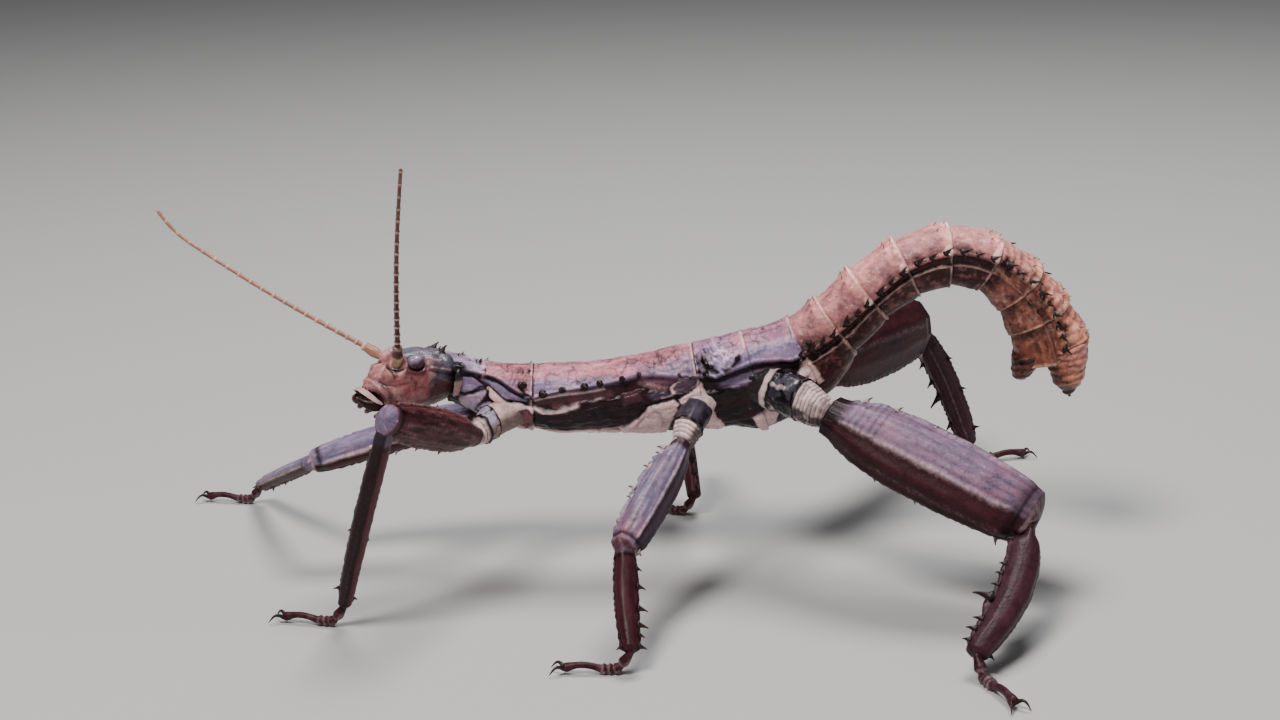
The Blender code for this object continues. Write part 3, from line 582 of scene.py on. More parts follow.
# Lines: points, width, lift, and the mask and amount that they paint. A line that lowers tone along a sunken groove
# is painted shade in that groove.
thoraxLines = {
    "prothorax": (
        (((4.9, 0.2), (5.1, -1.4), (6.1, -2.3), (6.9, -3.3), (7.5, -4.4), (7.6, -7.0)), 0.20, -0.35, "ink",
         1.0),
        (((0.2, 1.75), (2.5, 1.7), (4.2, 1.75), (5.9, 1.7), (6.9, 1.4), (7.9, 1.0), (8.9, 0.6), (9.6, 0.2),
         (11.4, -0.2)), 0.20, -0.2, "ink", 0.95),
        (((5.2, 0.5), (6.4, -0.3), (8.0, -1.55), (9.9, -1.45), (11.0, -1.7)), 0.13, -0.1, "ink", 0.8),
        (((8.7, 1.0), (9.2, 2.0), (9.4, 3.0)), 0.16, -0.12, "tone", -0.3),
        (((9.1, 1.0), (9.9, 2.0), (10.2, 3.1)), 0.16, -0.12, "tone", -0.3),
        (((9.4, 0.8), (10.4, 2.1), (10.9, 3.0)), 0.16, -0.12, "tone", -0.3),
        (((8.3, 1.2), (8.5, 2.0), (8.5, 3.0)), 0.16, -0.10, "tone", -0.25),
        (((3.8, 3.2), (4.1, 2.3), (4.0, 1.8)), 0.30, 0.15, "pale", 0.45),
        (((9.8, 1.2), (10.6, 0.4), (11.7, -0.5)), 0.26, 0.0, "ink", 1.0),
    ),
    "mesothorax": (
        (((0.5, -0.5), (1.7, 0.0), (4.4, 0.5), (8.0, 0.6), (10.5, 0.8), (13.9, 1.0)), 0.16, 0.0, "ink", 0.85),
        (((0.2, -1.0), (1.7, -0.45), (4.4, 0.05), (8.0, 0.2), (11.0, 0.4)), 0.20, 0.15, "pale", 0.95),
        (((0.0, -2.2), (1.7, -2.95), (3.8, -2.85), (5.8, -2.35), (6.8, -2.1)), 0.30, 0.30, "pale", 0.95),
        (((13.2, -6.7), (15.6, -5.3), (17.3, -3.5), (19.3, -3.1), (21.3, -2.9), (22.2, -3.2)), 0.20, -0.2,
         "ink", 1.0),
        (((16.3, -4.2), (16.6, -5.3), (15.4, -6.6)), 0.22, -0.25, "tone", -0.35),
        (((17.6, -3.9), (18.8, -5.0), (19.4, -7.0)), 0.35, -0.2, "tone", -0.25),
        (((19.6, -2.6), (21.0, -2.6), (21.6, -2.0)), 0.18, 0.15, "pale", 0.6),
        (((0.0, -6.2), (13.0, -6.4)), 0.22, -0.15, "ink", 1.0),
        (((0.0, -6.75), (13.0, -6.9)), 0.24, 0.1, "pale", 0.75),
        (((16.0, 2.0), (19.0, 1.4), (23.5, 1.5)), 0.13, -0.06, "tone", -0.35),
        (((17.5, 3.0), (20.5, 2.2), (24.0, 2.8)), 0.13, -0.06, "tone", -0.35),
        (((12.5, 1.6), (14.5, 2.5), (15.0, 3.5)), 0.13, -0.06, "tone", -0.3),
        (((19.0, 3.6), (21.0, 2.9), (22.5, 3.4)), 0.13, -0.06, "tone", -0.3),
    ),
    "metathorax": (
        (((0.0, -0.6), (1.4, -0.9), (2.8, -1.35), (5.5, -0.85), (9.0, -0.5)), 0.28, -0.2, "ink", 1.0),
        (((0.35, 2.6), (0.5, 1.2), (0.4, 0.0)), 0.22, -0.15, "ink", 0.8),
        (((0.3, 0.35), (1.3, -0.2)), 0.40, 0.0, "ink", 1.0),
        (((1.4, 2.2), (2.0, 1.0), (2.3, 0.4), (3.1, -0.2)), 0.34, 0.15, "ink", 1.0),
        (((4.4, -0.3), (5.4, 0.0), (6.2, 0.5), (6.8, 1.1)), 0.42, 0.25, "ink", 1.0),
        (((1.0, 1.8), (1.6, 0.6), (1.4, -0.4)), 0.40, -0.15, "ink", 0.9),
        (((2.6, 2.6), (3.0, 1.5), (4.0, 0.8), (5.0, 1.1)), 0.22, 0.20, "tone", 0.5),
        (((3.2, 3.4), (4.0, 2.4), (5.2, 2.2)), 0.20, 0.20, "tone", 0.5),
        (((3.4, 0.6), (4.2, 0.2), (4.6, -0.3)), 0.22, 0.15, "tone", 0.5),
        (((6.6, 0.85), (7.0, 1.5)), 0.14, 0.1, "ink", 1.0),
        (((1.6, 3.2), (1.9, 2.0), (1.8, 0.6)), 0.16, -0.1, "tone", -0.3),
        (((2.8, -2.8), (7.0, -3.6)), 0.5, 0.2, "tone", 0.1),
    ),
    "abdomen_1": (
        (((-1.0, -0.55), (1.7, -0.6), (4.7, -1.3), (6.0, -1.9), (8.0, -1.8)), 0.26, -0.2, "ink", 1.0),
        (((4.3, -3.1), (5.2, -3.2)), 0.5, 0.0, "ink", 0.9),
        (((1.9, -5.0), (2.7, -4.8)), 0.42, 0.0, "ink", 0.9),
        (((4.2, -4.9), (2.6, -6.3), (0.8, -7.7)), 0.2, -0.2, "ink", 0.9),
    ),
}
knobPlaces = {  # place along the plate, height, length and width
    "prothorax": ((1.2, 2.2, 0.55, 1.5), (4.2, 2.4, 0.35, 0.9), (10.2, 1.45, 0.8, 2.2), (11.3, 3.1, 0.3, 0.8),
        (2.6, 3.3, 0.5, 0.8), (3.3, 2.9, 0.4, 0.8), (1.0, 3.6, 0.7, 0.6)),
    "mesothorax": ((1.7, 0.15, 0.6, 2.1), (4.6, 0.85, 0.55, 1.9), (8.0, 0.75, 0.55, 1.9),
        (10.5, 1.05, 0.5, 1.6), (13.9, 1.3, 0.5, 1.5), (16.6, 1.5, 0.45, 1.3), (22.7, 0.45, 0.35, 1.0)),
    "metathorax": ((2.2, 0.6, 0.4, 1.5), (6.6, 0.9, 0.5, 1.2)),
}
# A margin over a sunken flank, a pale fold below it, and the rim at the rear.
trunkDetails = {
    "thorax": {"marginLift": 0.30, "flankSink": 0.70, "sinkEnd": 0.7, "foldLift": 0.0, "foldWidth": 0.17,
               "rimLift": 0.22},
    "abdomen": {"marginLift": 0.30, "flankSink": 0.50, "sinkEnd": 0.3, "foldLift": 0.25, "foldWidth": 0.12,
                "rimLift": 0.14},
}
stripDeep = 2.2  # the strip under the margin of the thorax
skins = {}  # finished surfaces, for what is set on them


def drawPatches(name, radii, paint, front, high):
    ragged = 0.16 * noiseOn(np.stack([front, high, high], axis=-1))(0.8, 90)
    for outline, values, lift, ink in thoraxPatches.get(name, ()):
        depth = insideOf(front, high, outline) + ragged
        blend = 0.10 if ink or values["pale"] > 0.3 else 0.50
        paint.turn(ramp(depth, -blend, blend), keptTone=0.25, ink=0.0, **values)
        paint.most("ink", hump(depth, 0.15) * ink)
        radii = radii + ramp(depth, -0.05, 0.35) * lift - hump(depth, 0.18) * 0.14 * (ink > 0)
    for place, height, tall, broad in knobPlaces.get(name, ()):
        spot = ramp(0.26 * broad - np.hypot((front - place) * 0.85, high - height), -0.05, 0.12)
        radii = radii + spot * 0.5 * tall
        paint.most("ink", spot)
    for corners, width, lift, mask, amount in thoraxLines.get(name, ()):
        near = hump(fromLine(front, high, corners), width)
        radii = radii + near * lift
        if mask == "pale":
            paint.ink = paint.ink * (1 - near * amount)
        paint.add(mask, near * amount)
    return radii


def platePiece(index):
    name, thorax, tail, length = plateNames[index], index < 4, index >= 9, plateLengths[index]
    detail = trunkDetails["thorax" if thorax else "abdomen"]
    tube, radii, runs, front, across, high = trunkGrid(index, *((1.3, 0.7) if index else (0.9, 0.1)))
    share, rear = front / length, length - front
    wide = np.abs(across).max(axis=1, keepdims=True)
    side = np.abs(across) / wide
    noise = noiseOn(tube.grid(radii), index)
    flow = noiseOn(np.stack([front * 0.35, across, high], axis=-1), index)  # noise drawn out along the body
    paint = Paint(radii.shape)
    if thorax:
        edge = np.interp(share, *zip(*plateEdges[name]))
        strip = edge - stripDeep
    else:
        edge, strip = (ends[index - 4] * (1 - share) + ends[index - 3] * share
                       for ends in (abdomenEdges, abdomenStrips))
    edge = edge + 0.10 * flow(0.9, 50)
    below = edge - high

    # The flank lies sunken under the margin of the back.
    paint.flank = np.maximum(ramp(below, 0.0, 0.22) * ramp(side, 0.0, 0.2), ramp(below, 0.8, 1.4))
    margin = hump(below + 0.22, 0.24) * ramp(side, 0.5, 0.75)
    recess = ramp(below, 0.0, 0.35) * (1 - ramp(strip - high, -0.6, detail["sinkEnd"])) * ramp(side, 0.5, 0.8)
    fold = hump(high - strip, detail["foldWidth"]) * ramp(side, 0.5, 0.7) * ramp(paint.flank, 0.4, 0.9)
    radii = radii + margin * detail["marginLift"] - recess * detail["flankSink"] + fold * detail["foldLift"]
    paint.tone += 0.40 * flow(1.1, 0) + 0.24 * noise(0.5, 20)
    back = 1 - paint.flank
    if thorax:
        rims = hump(rear - 0.22, 0.26)
        if index >= 2:
            rims = rims * ramp(high, 1.5, 2.6) * (0.9 if index == 2 else 0.6)
        lobe = (1 - ramp(share, 0.28, 0.40)) * (index == 0)
        paint.blush = 0.08 + 0.80 * ramp(high + 0.8 * flow(2.4, 5), 1.4, 3.2) * (1 - lobe) + 0.30 * flow(1.3, 6)
        if index == 0:
            paint.blush += 0.28 * ramp(share, 0.34, 0.45) * back
            paint.tone -= 0.12 * back
        if index >= 2:
            paint.blush = paint.blush * 0.55 + 0.10
        streaks = ramp(flow(0.8, 60, (0.16 / 0.35, 1.2, 1.2)), 0.15, 0.6)
        dark = paint.flank * ramp(below, 1.2, 2.4)
        glints = ramp(flow(0.50, 62, (1, 2.2, 2.2)), 0.50, 0.66) * dark
        flecks = ramp(noise(0.40, 77), 0.25, 0.55) * ramp(flow(1.4, 78), -0.1, 0.5)
        paint.most("pale", rims * 0.9 * (1 - paint.flank * 0.4), 0.30 * streaks * back, glints * 0.30,
                   flecks * 0.70 * back)
        paint.most("ink", hump(rear + 0.02, 0.12) * (index < 2), dark * (0.50 + 0.8 * flow(0.7, 61, (0.6, 1, 1))))
        wrinkles = hump(noise(1.5, 44, (1, 0.6, 0.6)), 0.06) * back * ramp(high, 0.8, 2.2)
        # The wrinkles' creases are painted darker: painted shade in them.
        paint.tone -= 0.45 * wrinkles
        radii = radii + (0.10 * flow(0.9, 40) + 0.06 * noise(0.42, 42)) * back + 0.26 * flow(0.65, 41) * dark
        radii = radii + 0.10 * noise(1.4, 30) + rims * detail["rimLift"] - 0.10 * wrinkles
        if index == 2:  # a swollen front with white swirls
            swirls = hump(noise(1.5, 43), 0.10) * (1 - ramp(front, 5.0, 7.0)) * back * ramp(side, 0.4, 0.7)
            radii = radii + 0.25 * hump(front - 3.2, 2.4) * back + 0.12 * swirls
            paint.most("pale", swirls * 0.30)
            paint.tone += swirls * 0.6 - 0.2 * hump(front - 3.0, 3.0) * (1 - swirls) * ramp(side, 0.4, 0.7)
            paint.blush *= 1 - 0.8 * hump(front - 3.2, 2.6) * (1 - ramp(high, 2.5, 4.0))
        if index == 1:  # the pale breastplate, with a dark line over its edge
            above, ahead = high - high.min(axis=1, keepdims=True), 1 - ramp(front, 12.5, 14.0)
            breast, line = (1 - ramp(above, 0.50, 0.75)) * ahead, hump(above - 0.95, 0.22) * ahead
            paint.turn(breast, ink=0.0, **tint(0.0, 0.9, 0.7, 0.75))
            paint.most("ink", line)
            radii = radii + (breast - line) * 0.12
        if index == 0:  # small bumps on the front lobe
            grains = ramp(noise(0.5, 47), 0.25, 0.55) * lobe * back
            radii = radii + grains * 0.14
            paint.most("pale", grains * 0.5)
        radii = drawPatches(name, radii, paint, front, high)
    else:
        rims = hump(rear - 0.16, 0.17) * (0.55 + 0.35 * ramp(high, 1.5, 3.5))
        swelling = hump(rear - 0.45 - 0.35 * noise(1.2, 81), 0.60) * ramp(high, 1.5, 3.6) * (index > 4)
        callus = hump(np.hypot(rear - 0.55, (high - edge - 0.75) * 0.8), 0.72) * ramp(side, 0.5, 0.75)
        callus = callus * {4: 0.6, 11: 0.5}.get(index, 1.0)
        paint.blush = 0.30 + 0.45 * noise(1.8, 5) + 0.45 * hump(rear - 0.8, 0.9) + tail * (0.28 * index - 2.77)
        radii = radii + callus * 0.42 + rims * detail["rimLift"] + swelling * (0.42 + 0.45 * noise(0.9, 80))
        paint.most("pale", ramp(callus, 0.25, 0.7) * 0.9, rims * 0.8 + swelling * (0.06 + 0.5 * noise(0.8, 76)),
                   fold * (0.25 if tail else 0.75))
        bumps, pits = (hump(np.hypot(rear - 1.8, np.abs(across) - 0.62 * wide), width) * ramp(high, 1.0, 2.0)
                       for width in (0.75, 0.30))
        radii = radii + bumps * 0.55 - pits * 0.18
        # Painted light and shade: the sunken pits are painted darker, and the back lighter towards its top.
        paint.tone += 0.18 * bumps - 0.75 * pits + 0.20 * ramp(high, 1.0, 3.5) + 0.10 * hump(rear - 0.9, 0.8)
        # Painted shade: low is the back's lower part near the margin, painted darker below.
        low = (1 - ramp(high - edge, 0.3, 2.4)) * (1 - ramp(callus, 0.2, 0.6)) * ramp(side, 0.4, 0.7)
        dusk = sum(hump(np.hypot(front - spot * length, high - edge - 0.7), 0.75) for spot in (0.24, 0.55, 0.86))
        specks = ramp(noise(0.32, 70), 0.5, 0.7)
        paint.tone += (0.22 * (index in (6, 7, 8)) - 0.30 * low - 0.38 * dusk * ramp(side, 0.5, 0.75)
                       - 0.25 * specks) * back
        paint.blush += 0.25 * (index in (5, 6, 7, 8)) * ramp(high, 1.0, 3.0)
        sternum = ramp(strip - high, -0.2, 0.3)  # mottled brown under the black strip
        blots = ramp(noise(0.9, 82), -0.05, 0.45) * sternum
        paint.ink = paint.flank * ramp(below, 0.0, 0.4) * np.clip(0.75 + 0.5 * noise(1.1, 71), 0, 1)
        paint.ink *= (0.35 if tail else 0.85) * (1 - 0.75 * sternum)
        paint.flank -= 0.42 * blots
        paint.blush += 0.5 * blots
        paint.tone += (0.34 if tail else 0.26) * noise(1.3, 79) - 0.2 * sternum
        flecks = ramp(noise(0.42, 77), 0.28, 0.55) * ramp(noise(1.7, 78), -0.2, 0.4)
        # The pale specks in the recess are painted glints; the flecks on the back are the shell's own.
        paint.most("pale", ramp(noise(0.36, 72), 0.52, 0.66) * recess * 0.6, flecks * 0.42 * back)
        radii = radii + 0.13 * noise(1.1, 30) + 0.07 * noise(0.45, 40) * (back + 0.3)
        if tail:
            wrinkles = np.sin(front * 5.2 + 2.2 * noise(1.6, 73)) * back
            radii = radii + 0.06 * wrinkles
            # The wrinkles' ridges are painted lighter and their troughs darker: painted light and shade.
            paint.tone += 0.16 * wrinkles
            paint.most("ink", 0.35 * ramp(noise(0.8, 83), 0.35, 0.6) * (1 - 0.5 * back))
            paint.most("pale", 0.30 * ramp(noise(1.2, 74), 0.1, 0.6))
            paint.flank *= 0.85 - 0.35 * ramp(noise(1.5, 75), -0.2, 0.5)
        radii = drawPatches(name, radii, paint, front, high)
        lower = hump(rear - 0.15, 0.20) * paint.flank * ramp(strip - high, -0.3, 0.3)
        radii = radii + lower * 0.18
        paint.most("pale", lower * 0.9, hump(rear - 0.1, 0.16) * recess * 0.95)
    paint.flank = paint.flank * (1 - 0.35 * ramp(-side ** 2, -0.25, -0.05) * paint.flank)

    tube, radii = curlRear(tube, radii, runs, paint)
    grid, onward, outward = tube.grid(radii), 0 * front, 0 * front
    if index == 0:  # the collar reaches forward over the neck
        onward = -(1 - ramp(front, -0.6, 2.2)) * (
            2.0 * ramp(high, -1.4, 0.2) + 1.2 * ramp(high, 1.0, 1.7) * (1 - ramp(high, 3.2, 4.4)))
        outward = 0.75 * (1 - ramp(front, 0.0, 2.4)) * ramp(high, 0.8, 1.5) * (1 - ramp(high, 3.6, 4.6))
    if index == 11:  # the last plate reaches back under the tail
        onward = 2.2 * ramp(front, length - 2.5, length) * ramp(-high, -1.5, 1.0)
    grid += carriedOn(runs)[:, None] * carriedOn(onward)[..., None]
    grid += unit(grid - tube.centres[:, None]) * carriedOn(outward)[..., None]
    skins[name] = (grid[:len(share)], front, across, high, rear, runs)
    look = "thoraxShell" if thorax else "tailShell" if tail else "abdomenShell"
    skinPiece(name + "Plate", grid, paint, look, "shell_tan" if tail else "shell_brown", name)


for index in range(len(plateNames)):
    platePiece(index)
print("trunk plates made")


# A skin cast straight from one solid along its own axis, for the head, the tail and the limbs.
stationPitch = 0.9  # between the places from which the rays are cast


def longAxis(points, onward):
    middle, run = points.mean(axis=0), mainAxis(points, 0, onward)
    along = (points - middle) @ run
    return middle, run, along.min(), along.max()


def castSkin(tree, middle, axes, low, high, ahead=0.0, behind=0.0, clear=0.25, turns=96, blurAlong=0.5,
             blurRound=1.0, fine=1.0):
    run, left, up = axes
    stations = np.linspace(low + clear, high - clear, max(8, int((high - low) / stationPitch)))
    offsets = np.zeros((len(stations), 2))
    for row, station in enumerate(stations):  # the middle of the solid at each station
        origin = middle + run * station
        for k, axis in ((0, left), (1, up)) * 2:
            hits = [tree.ray_cast(Vector(origin), Vector(axis * sign))[3] for sign in (1, -1)]
            if None not in hits:
                offsets[row, k] += (hits[0] - hits[1]) / 2
                origin = origin + axis * (hits[0] - hits[1]) / 2
    fits = [np.polyfit(stations, offsets[:, k], 3) for k in (0, 1)]

    def centresAt(place):
        inner = np.clip(place, stations[0], stations[-1])
        return (middle + run * place[:, None] + left * np.polyval(fits[0], inner)[:, None]
                + up * np.polyval(fits[1], inner)[:, None])

    radii = castRadii(tree, centresAt(stations), rowsOf(left, len(stations)), rowsOf(up, len(stations)),
                      around(turns), blurRound)
    pitch = spacing / fine
    rows = int((high - low + ahead + behind) / pitch) + 2
    place = np.linspace(low - behind, high + ahead, rows)
    count = max(20, int(2 * math.pi * radii.mean() / pitch / 1.1))
    radii = refined(radii, stations, np.clip(place, stations[0], stations[-1]), count)
    tube = Tube(centresAt(place), rowsOf(left, rows), rowsOf(up, rows), around(count))
    return tube, blurred(radii, blurAlong / pitch, 0), (place - low)[:, None]


def roundedEnds(radii, place, low, high, nearCap, farCap):  # closes both ends with a dome
    near, far = np.clip((place - low) / nearCap, 0, 1), np.clip((high - place) / farCap, 0, 1)
    return radii * np.maximum(np.sqrt((1 - (1 - near) ** 2) * (1 - (1 - far) ** 2)), 0.02)


# The legs. Angles run round the limb in degrees: 90 is the side that the knee or ankle bends away
# from. "face" is the lavender face, "base" what the masks are outside it, "shade" two angles and the
# ink between them, and each ridge is an angle, lift, paleness, tooth height, tooth spacing in mm, and
# the shares of the length that it spans.
maroon, russet, ashen = tint(1.0, 0.4, 0.5), tint(0.80, 1.0, 0.50), tint(0.72, 0.0, 0.36)
dusky, umber = tint(0.93, 0.0, 0.32), tint(0.96, 0.3, 0.38)
legDetails = {
    ("front", "left", "femur"): {"face": None, "base": russet,
        "ridges": ((100, 0.20, 0.22, 0.10, 1.7, 0.06, 0.92), (58, 0.10, 0.04, 0.0, 2.0, 0.1, 0.9),
        (22, 0.08, 0.06, 0.0, 2.0, 0.1, 0.9), (-28, 0.12, 0.06, 0.05, 1.9, 0.1, 0.9),
        (-70, 0.22, 0.30, 0.12, 2.1, 0.06, 0.94))},
    ("front", "left", "tibia"): {"face": None, "base": russet, "shade": (38, 190, 0.85),
        "ridges": ((62, 0.18, 0.12, 0.08, 1.6, 0.08, 0.95), (-64, 0.10, 0.20, 0.10, 1.7, 0.06, 0.95),
        (150, 0.16, 0.08, 0.10, 1.6, 0.1, 0.95))},
    ("front", "right", "femur"): {"face": (-12, 108), "base": maroon, "shade": (-170, -12, 0.6),
        "ridges": ((108, 0.26, 0.85, 0.14, 1.35, 0.05, 0.93), (0, 0.20, 0.45, 0.16, 2.4, 0.06, 0.94),
        (180, 0.20, 0.20, 0.12, 2.0, 0.08, 0.94))},
    ("front", "right", "tibia"): {"face": (-30, 84), "base": maroon, "shade": (-180, -30, 0.6),
        "ridges": ((92, 0.26, 0.95, 0.08, 1.6, 0.04, 0.96), (0, 0.16, 0.25, 0.06, 1.7, 0.06, 0.94),
        (176, 0.20, 0.12, 0.18, 1.5, 0.1, 0.95))},
    ("mid", "left", "femur"): {"face": (-8, 128), "base": ashen, "shade": (-120, -12, 0.35),
        "ridges": ((-8, 0.24, 0.42, 0.05, 2.2, 0.05, 0.92), (98, 0.24, 0.55, 0.38, 2.5, 0.06, 0.90),
        (44, 0.16, 0.42, 0.04, 2.0, 0.02, 0.88), (-66, 0.16, 0.10, 0.06, 2.0, 0.06, 0.92))},
    ("mid", "left", "tibia"): {"face": None, "base": umber, "ridges": ((-50, 0.20, 0.05, 0.10, 1.9, 0.05, 0.95),
        (118, 0.20, 0.10, 0.12, 1.2, 0.05, 0.95))},
    ("mid", "right", "femur"): {"face": (-8, 128), "base": ashen,
        "ridges": ((-8, 0.22, 0.40, 0.05, 2.2, 0.05, 0.92), (98, 0.22, 0.50, 0.30, 2.5, 0.06, 0.90),
        (-66, 0.18, 0.10, 0.20, 2.0, 0.06, 0.92))},
    ("mid", "right", "tibia"): {"face": None, "base": umber,
        "ridges": ((-60, 0.20, 0.10, 0.22, 1.9, 0.05, 0.95), (120, 0.18, 0.10, 0.12, 1.4, 0.05, 0.95))},
    ("hind", "left", "femur"): {"face": (96, 223), "base": umber,
        "ridges": ((223, 0.30, 0.45, 0.10, 1.5, 0.05, 0.88), (180, 0.10, 0.12, 0.0, 2.0, 0.15, 0.86),
        (128, 0.22, 0.20, 0.22, 2.3, 0.04, 0.92), (300, 0.26, 0.22, 0.10, 1.6, 0.05, 0.95),
        (268, 0.08, 0.05, 0.0, 2.0, 0.1, 0.9))},
    ("hind", "left", "tibia"): {"face": None, "base": dusky, "ridges": ((85, 0.22, 0.05, 0.06, 1.6, 0.05, 0.95),
        (252, 0.20, 0.05, 0.16, 1.4, 0.05, 0.96))},
    ("hind", "right", "femur"): {"face": (96, 223), "base": umber,
        "ridges": ((223, 0.28, 0.60, 0.10, 1.5, 0.05, 0.88), (96, 0.22, 0.30, 0.16, 2.0, 0.04, 0.92),
        (8, 0.10, 0.08, 0.0, 2.0, 0.1, 0.9), (-72, 0.22, 0.18, 0.14, 1.6, 0.05, 0.95))},
    ("hind", "right", "tibia"): {"face": None, "base": dusky,
        "ridges": ((40, 0.22, 0.10, 0.12, 1.5, 0.05, 0.95), (-48, 0.10, 0.15, 0.05, 1.7, 0.06, 0.95),
        (-130, 0.22, 0.12, 0.18, 1.4, 0.05, 0.96))},
}
drawnOut = (0.14, 1, 1)  # for noise in streaks along a limb
faceBlush = {"front": (0.0, 0.1), "mid": (0.05, 0.4), "hind": (0.28, 0.1)}  # all over, and more at the knee


def limbPiece(pair, side, part, axis, out, seed):
    middle, run, low, high = axis
    node, length, femur, hind = f"{pair}_{side}_{part}", high - low, part == "femur", pair == "hind"
    detail = legDetails[pair, side, part]
    left = np.cross(out, run) * (1 if side == "left" else -1)
    ahead, behind = (0.15, 1.0) if femur else (0.1, 1.8)
    tube, radii, place = castSkin(
        treeOf(node), middle, (run, left, out), low, high, ahead, behind, clear=0.3 if femur else 1.2,
        blurAlong=0.9, blurRound=0.8 if femur and pair != "front" else 3.0)
    degrees, full = np.degrees(tube.angle)[None], place + 0 * radii
    share = full / length
    noise = noiseOn(np.stack([full, radii * np.cos(tube.angle), radii * np.sin(tube.angle)], axis=-1), seed)
    paint = Paint(radii.shape)
    paint.turn(1.0, **detail["base"])
    border, face = degrees + 5 * noise(1.3, 0), 0 * radii
    if detail["face"]:
        face, (allOver, atKnee) = sector(border, *detail["face"], 5), faceBlush[pair]
        paint.turn(face, flank=0.0, blush=allOver + atKnee * ramp(share, 0.55, 0.95))
    calm = 1 - ramp(share, 0.92, 0.97) * femur
    streaks = noise(0.75 if hind and femur else 0.42, 1, drawnOut) * calm
    paint.tone += (0.12 if hind else 0.26) * streaks + 0.14 * noise(0.9, 2) + 0.08 * noise(0.35, 3)
    paint.tone += 0.16 * noise(2.2, 11, drawnOut) * hind
    paint.blush += 0.25 * noise(1.3 if hind else 0.7, 4, drawnOut)
    paint.pale = (0.22 if hind else 0.34) * ramp(streaks, 0.22, 0.60) * face * (0.55 + 0.45 * noise(1.4, 5))
    if not detail["face"] and femur:  # pale streaks along the russet femur
        paint.most("pale", 0.08 * ramp(streaks, 0.25, 0.6))
        paint.flank += 0.35 * ramp(-streaks, 0.0, 0.5)
    if "shade" in detail:
        first, second, depth = detail["shade"]
        paint.ink = depth * sector(border, first, second, 8) * calm
    radii = radii + 0.035 * streaks + 0.03 * noise(0.28, 6) * (1 - face) * calm
    wander, carinaPaleAndSheen = 2.5 * noise(2.0, 7), 0.75 + 0.35 * noise(0.5, 8)
    for turn, lift, pale, tooth, pitch, start, end in detail["ridges"]:
        away = turned(degrees, turn) + wander
        ridge = hump(away, 5.5) * ramp(share, start - 0.03, start + 0.03) * (1 - ramp(share, end - 0.02, end + 0.03))
        step = (place / pitch + 0.35 * np.sin(place * 0.9 + seed)) % 1
        radii = radii + ridge * (lift + tooth * ramp(step, 0.0, 0.75) * (1 - ramp(step, 0.80, 1.0)))
        # The ridges are painted pale: partly their own pale carinae, partly a painted highlight along the edge. Each
        # side of a ridge is painted darker, as painted shade at its foot.
        paint.most("pale", ridge * (1 - ramp(share, 0.97, 0.99)) * pale * carinaPaleAndSheen)
        paint.tone -= 0.14 * (hump(away - 12, 4) + hump(away + 12, 4)) * ramp(share, start, start + 0.05)
    if femur:  # the knee: a dark band, then a tan collar, and a dusky root
        band, collar, root = hump(share - 0.925, 0.018), ramp(share, 0.955, 0.975), 1 - ramp(share, 0.02, 0.09)
        pole = ramp(share, 0.962, 0.975) if pair == "front" else ramp(share, 0.985, 0.995)
        radii = radii - band * 0.14 + hump(share - 0.965, 0.012) * 0.16
        paint.tone += 0.25 * collar * noise(1.1, 10)
        paint.most("pale", collar * 0.65 * ramp(noise(1.2, 9), -0.1, 0.3))
        paint.turn(collar, blush=0.7 - 0.6 * pole, flank=0.62 - 0.40 * pole)
        paint.most("flank", root * 0.92)
        paint.most("ink", band * 0.85, root * (0.75 if hind else 0.3))
        if hind:
            paint.most("ink", hump(share - 0.915, 0.035) * 0.6, 0.5 * ramp(share, 0.84, 0.92) * face)
            ribs = hump(np.sin(place * 6.0) - 1, 0.7) * ramp(share, 0.05, 0.08) * (1 - ramp(share, 0.2, 0.28)) * face
            radii = radii + ribs * 0.07
            paint.tone -= ribs * 0.18
    else:
        knob = (1 - ramp(share, 0.02, 0.065)) * (1.0 if pair == "front" else 0.35)
        paint.flank *= 1 - 0.55 * knob
        paint.turn(knob, blush=0.15)
        paint.most("ink", hump(share - 0.062, 0.014) * 0.8)
        radii = radii + 0.10 * hump(share - 0.03, 0.03)
    radii = roundedEnds(radii, place, -behind, length + ahead, 0.6, 1.6 if femur else 0.8)
    paint.tone = np.clip(paint.tone, -0.1, 1.2)
    grid = tube.grid(radii)
    skins[node] = (grid, full, turned(degrees, 0) + 0 * radii, length, run)
    skinPiece(pair + side.title() + part.title(), grid, paint, "legShell", "leg_shell", node)


legNames = [(pair, side) for pair in ("front", "mid", "hind") for side in ("left", "right")]
for number, (pair, side) in enumerate(legNames):
    coxa, femur, tibia, tarsus = (cadPoints(f"{pair}_{side}_{part}") for part in ("coxa", "femur", "tibia", "tarsus"))
    thigh = longAxis(femur, tibia.mean(axis=0) - coxa.mean(axis=0))
    shin = longAxis(tibia, tarsus.mean(axis=0) - femur.mean(axis=0))
    limbPiece(pair, side, "femur", thigh, -squareTo(shin[1], thigh[1]), 200 + 20 * number)
    limbPiece(pair, side, "tibia", shin, squareTo(thigh[1], shin[1]), 210 + 20 * number)
print("limbs made")


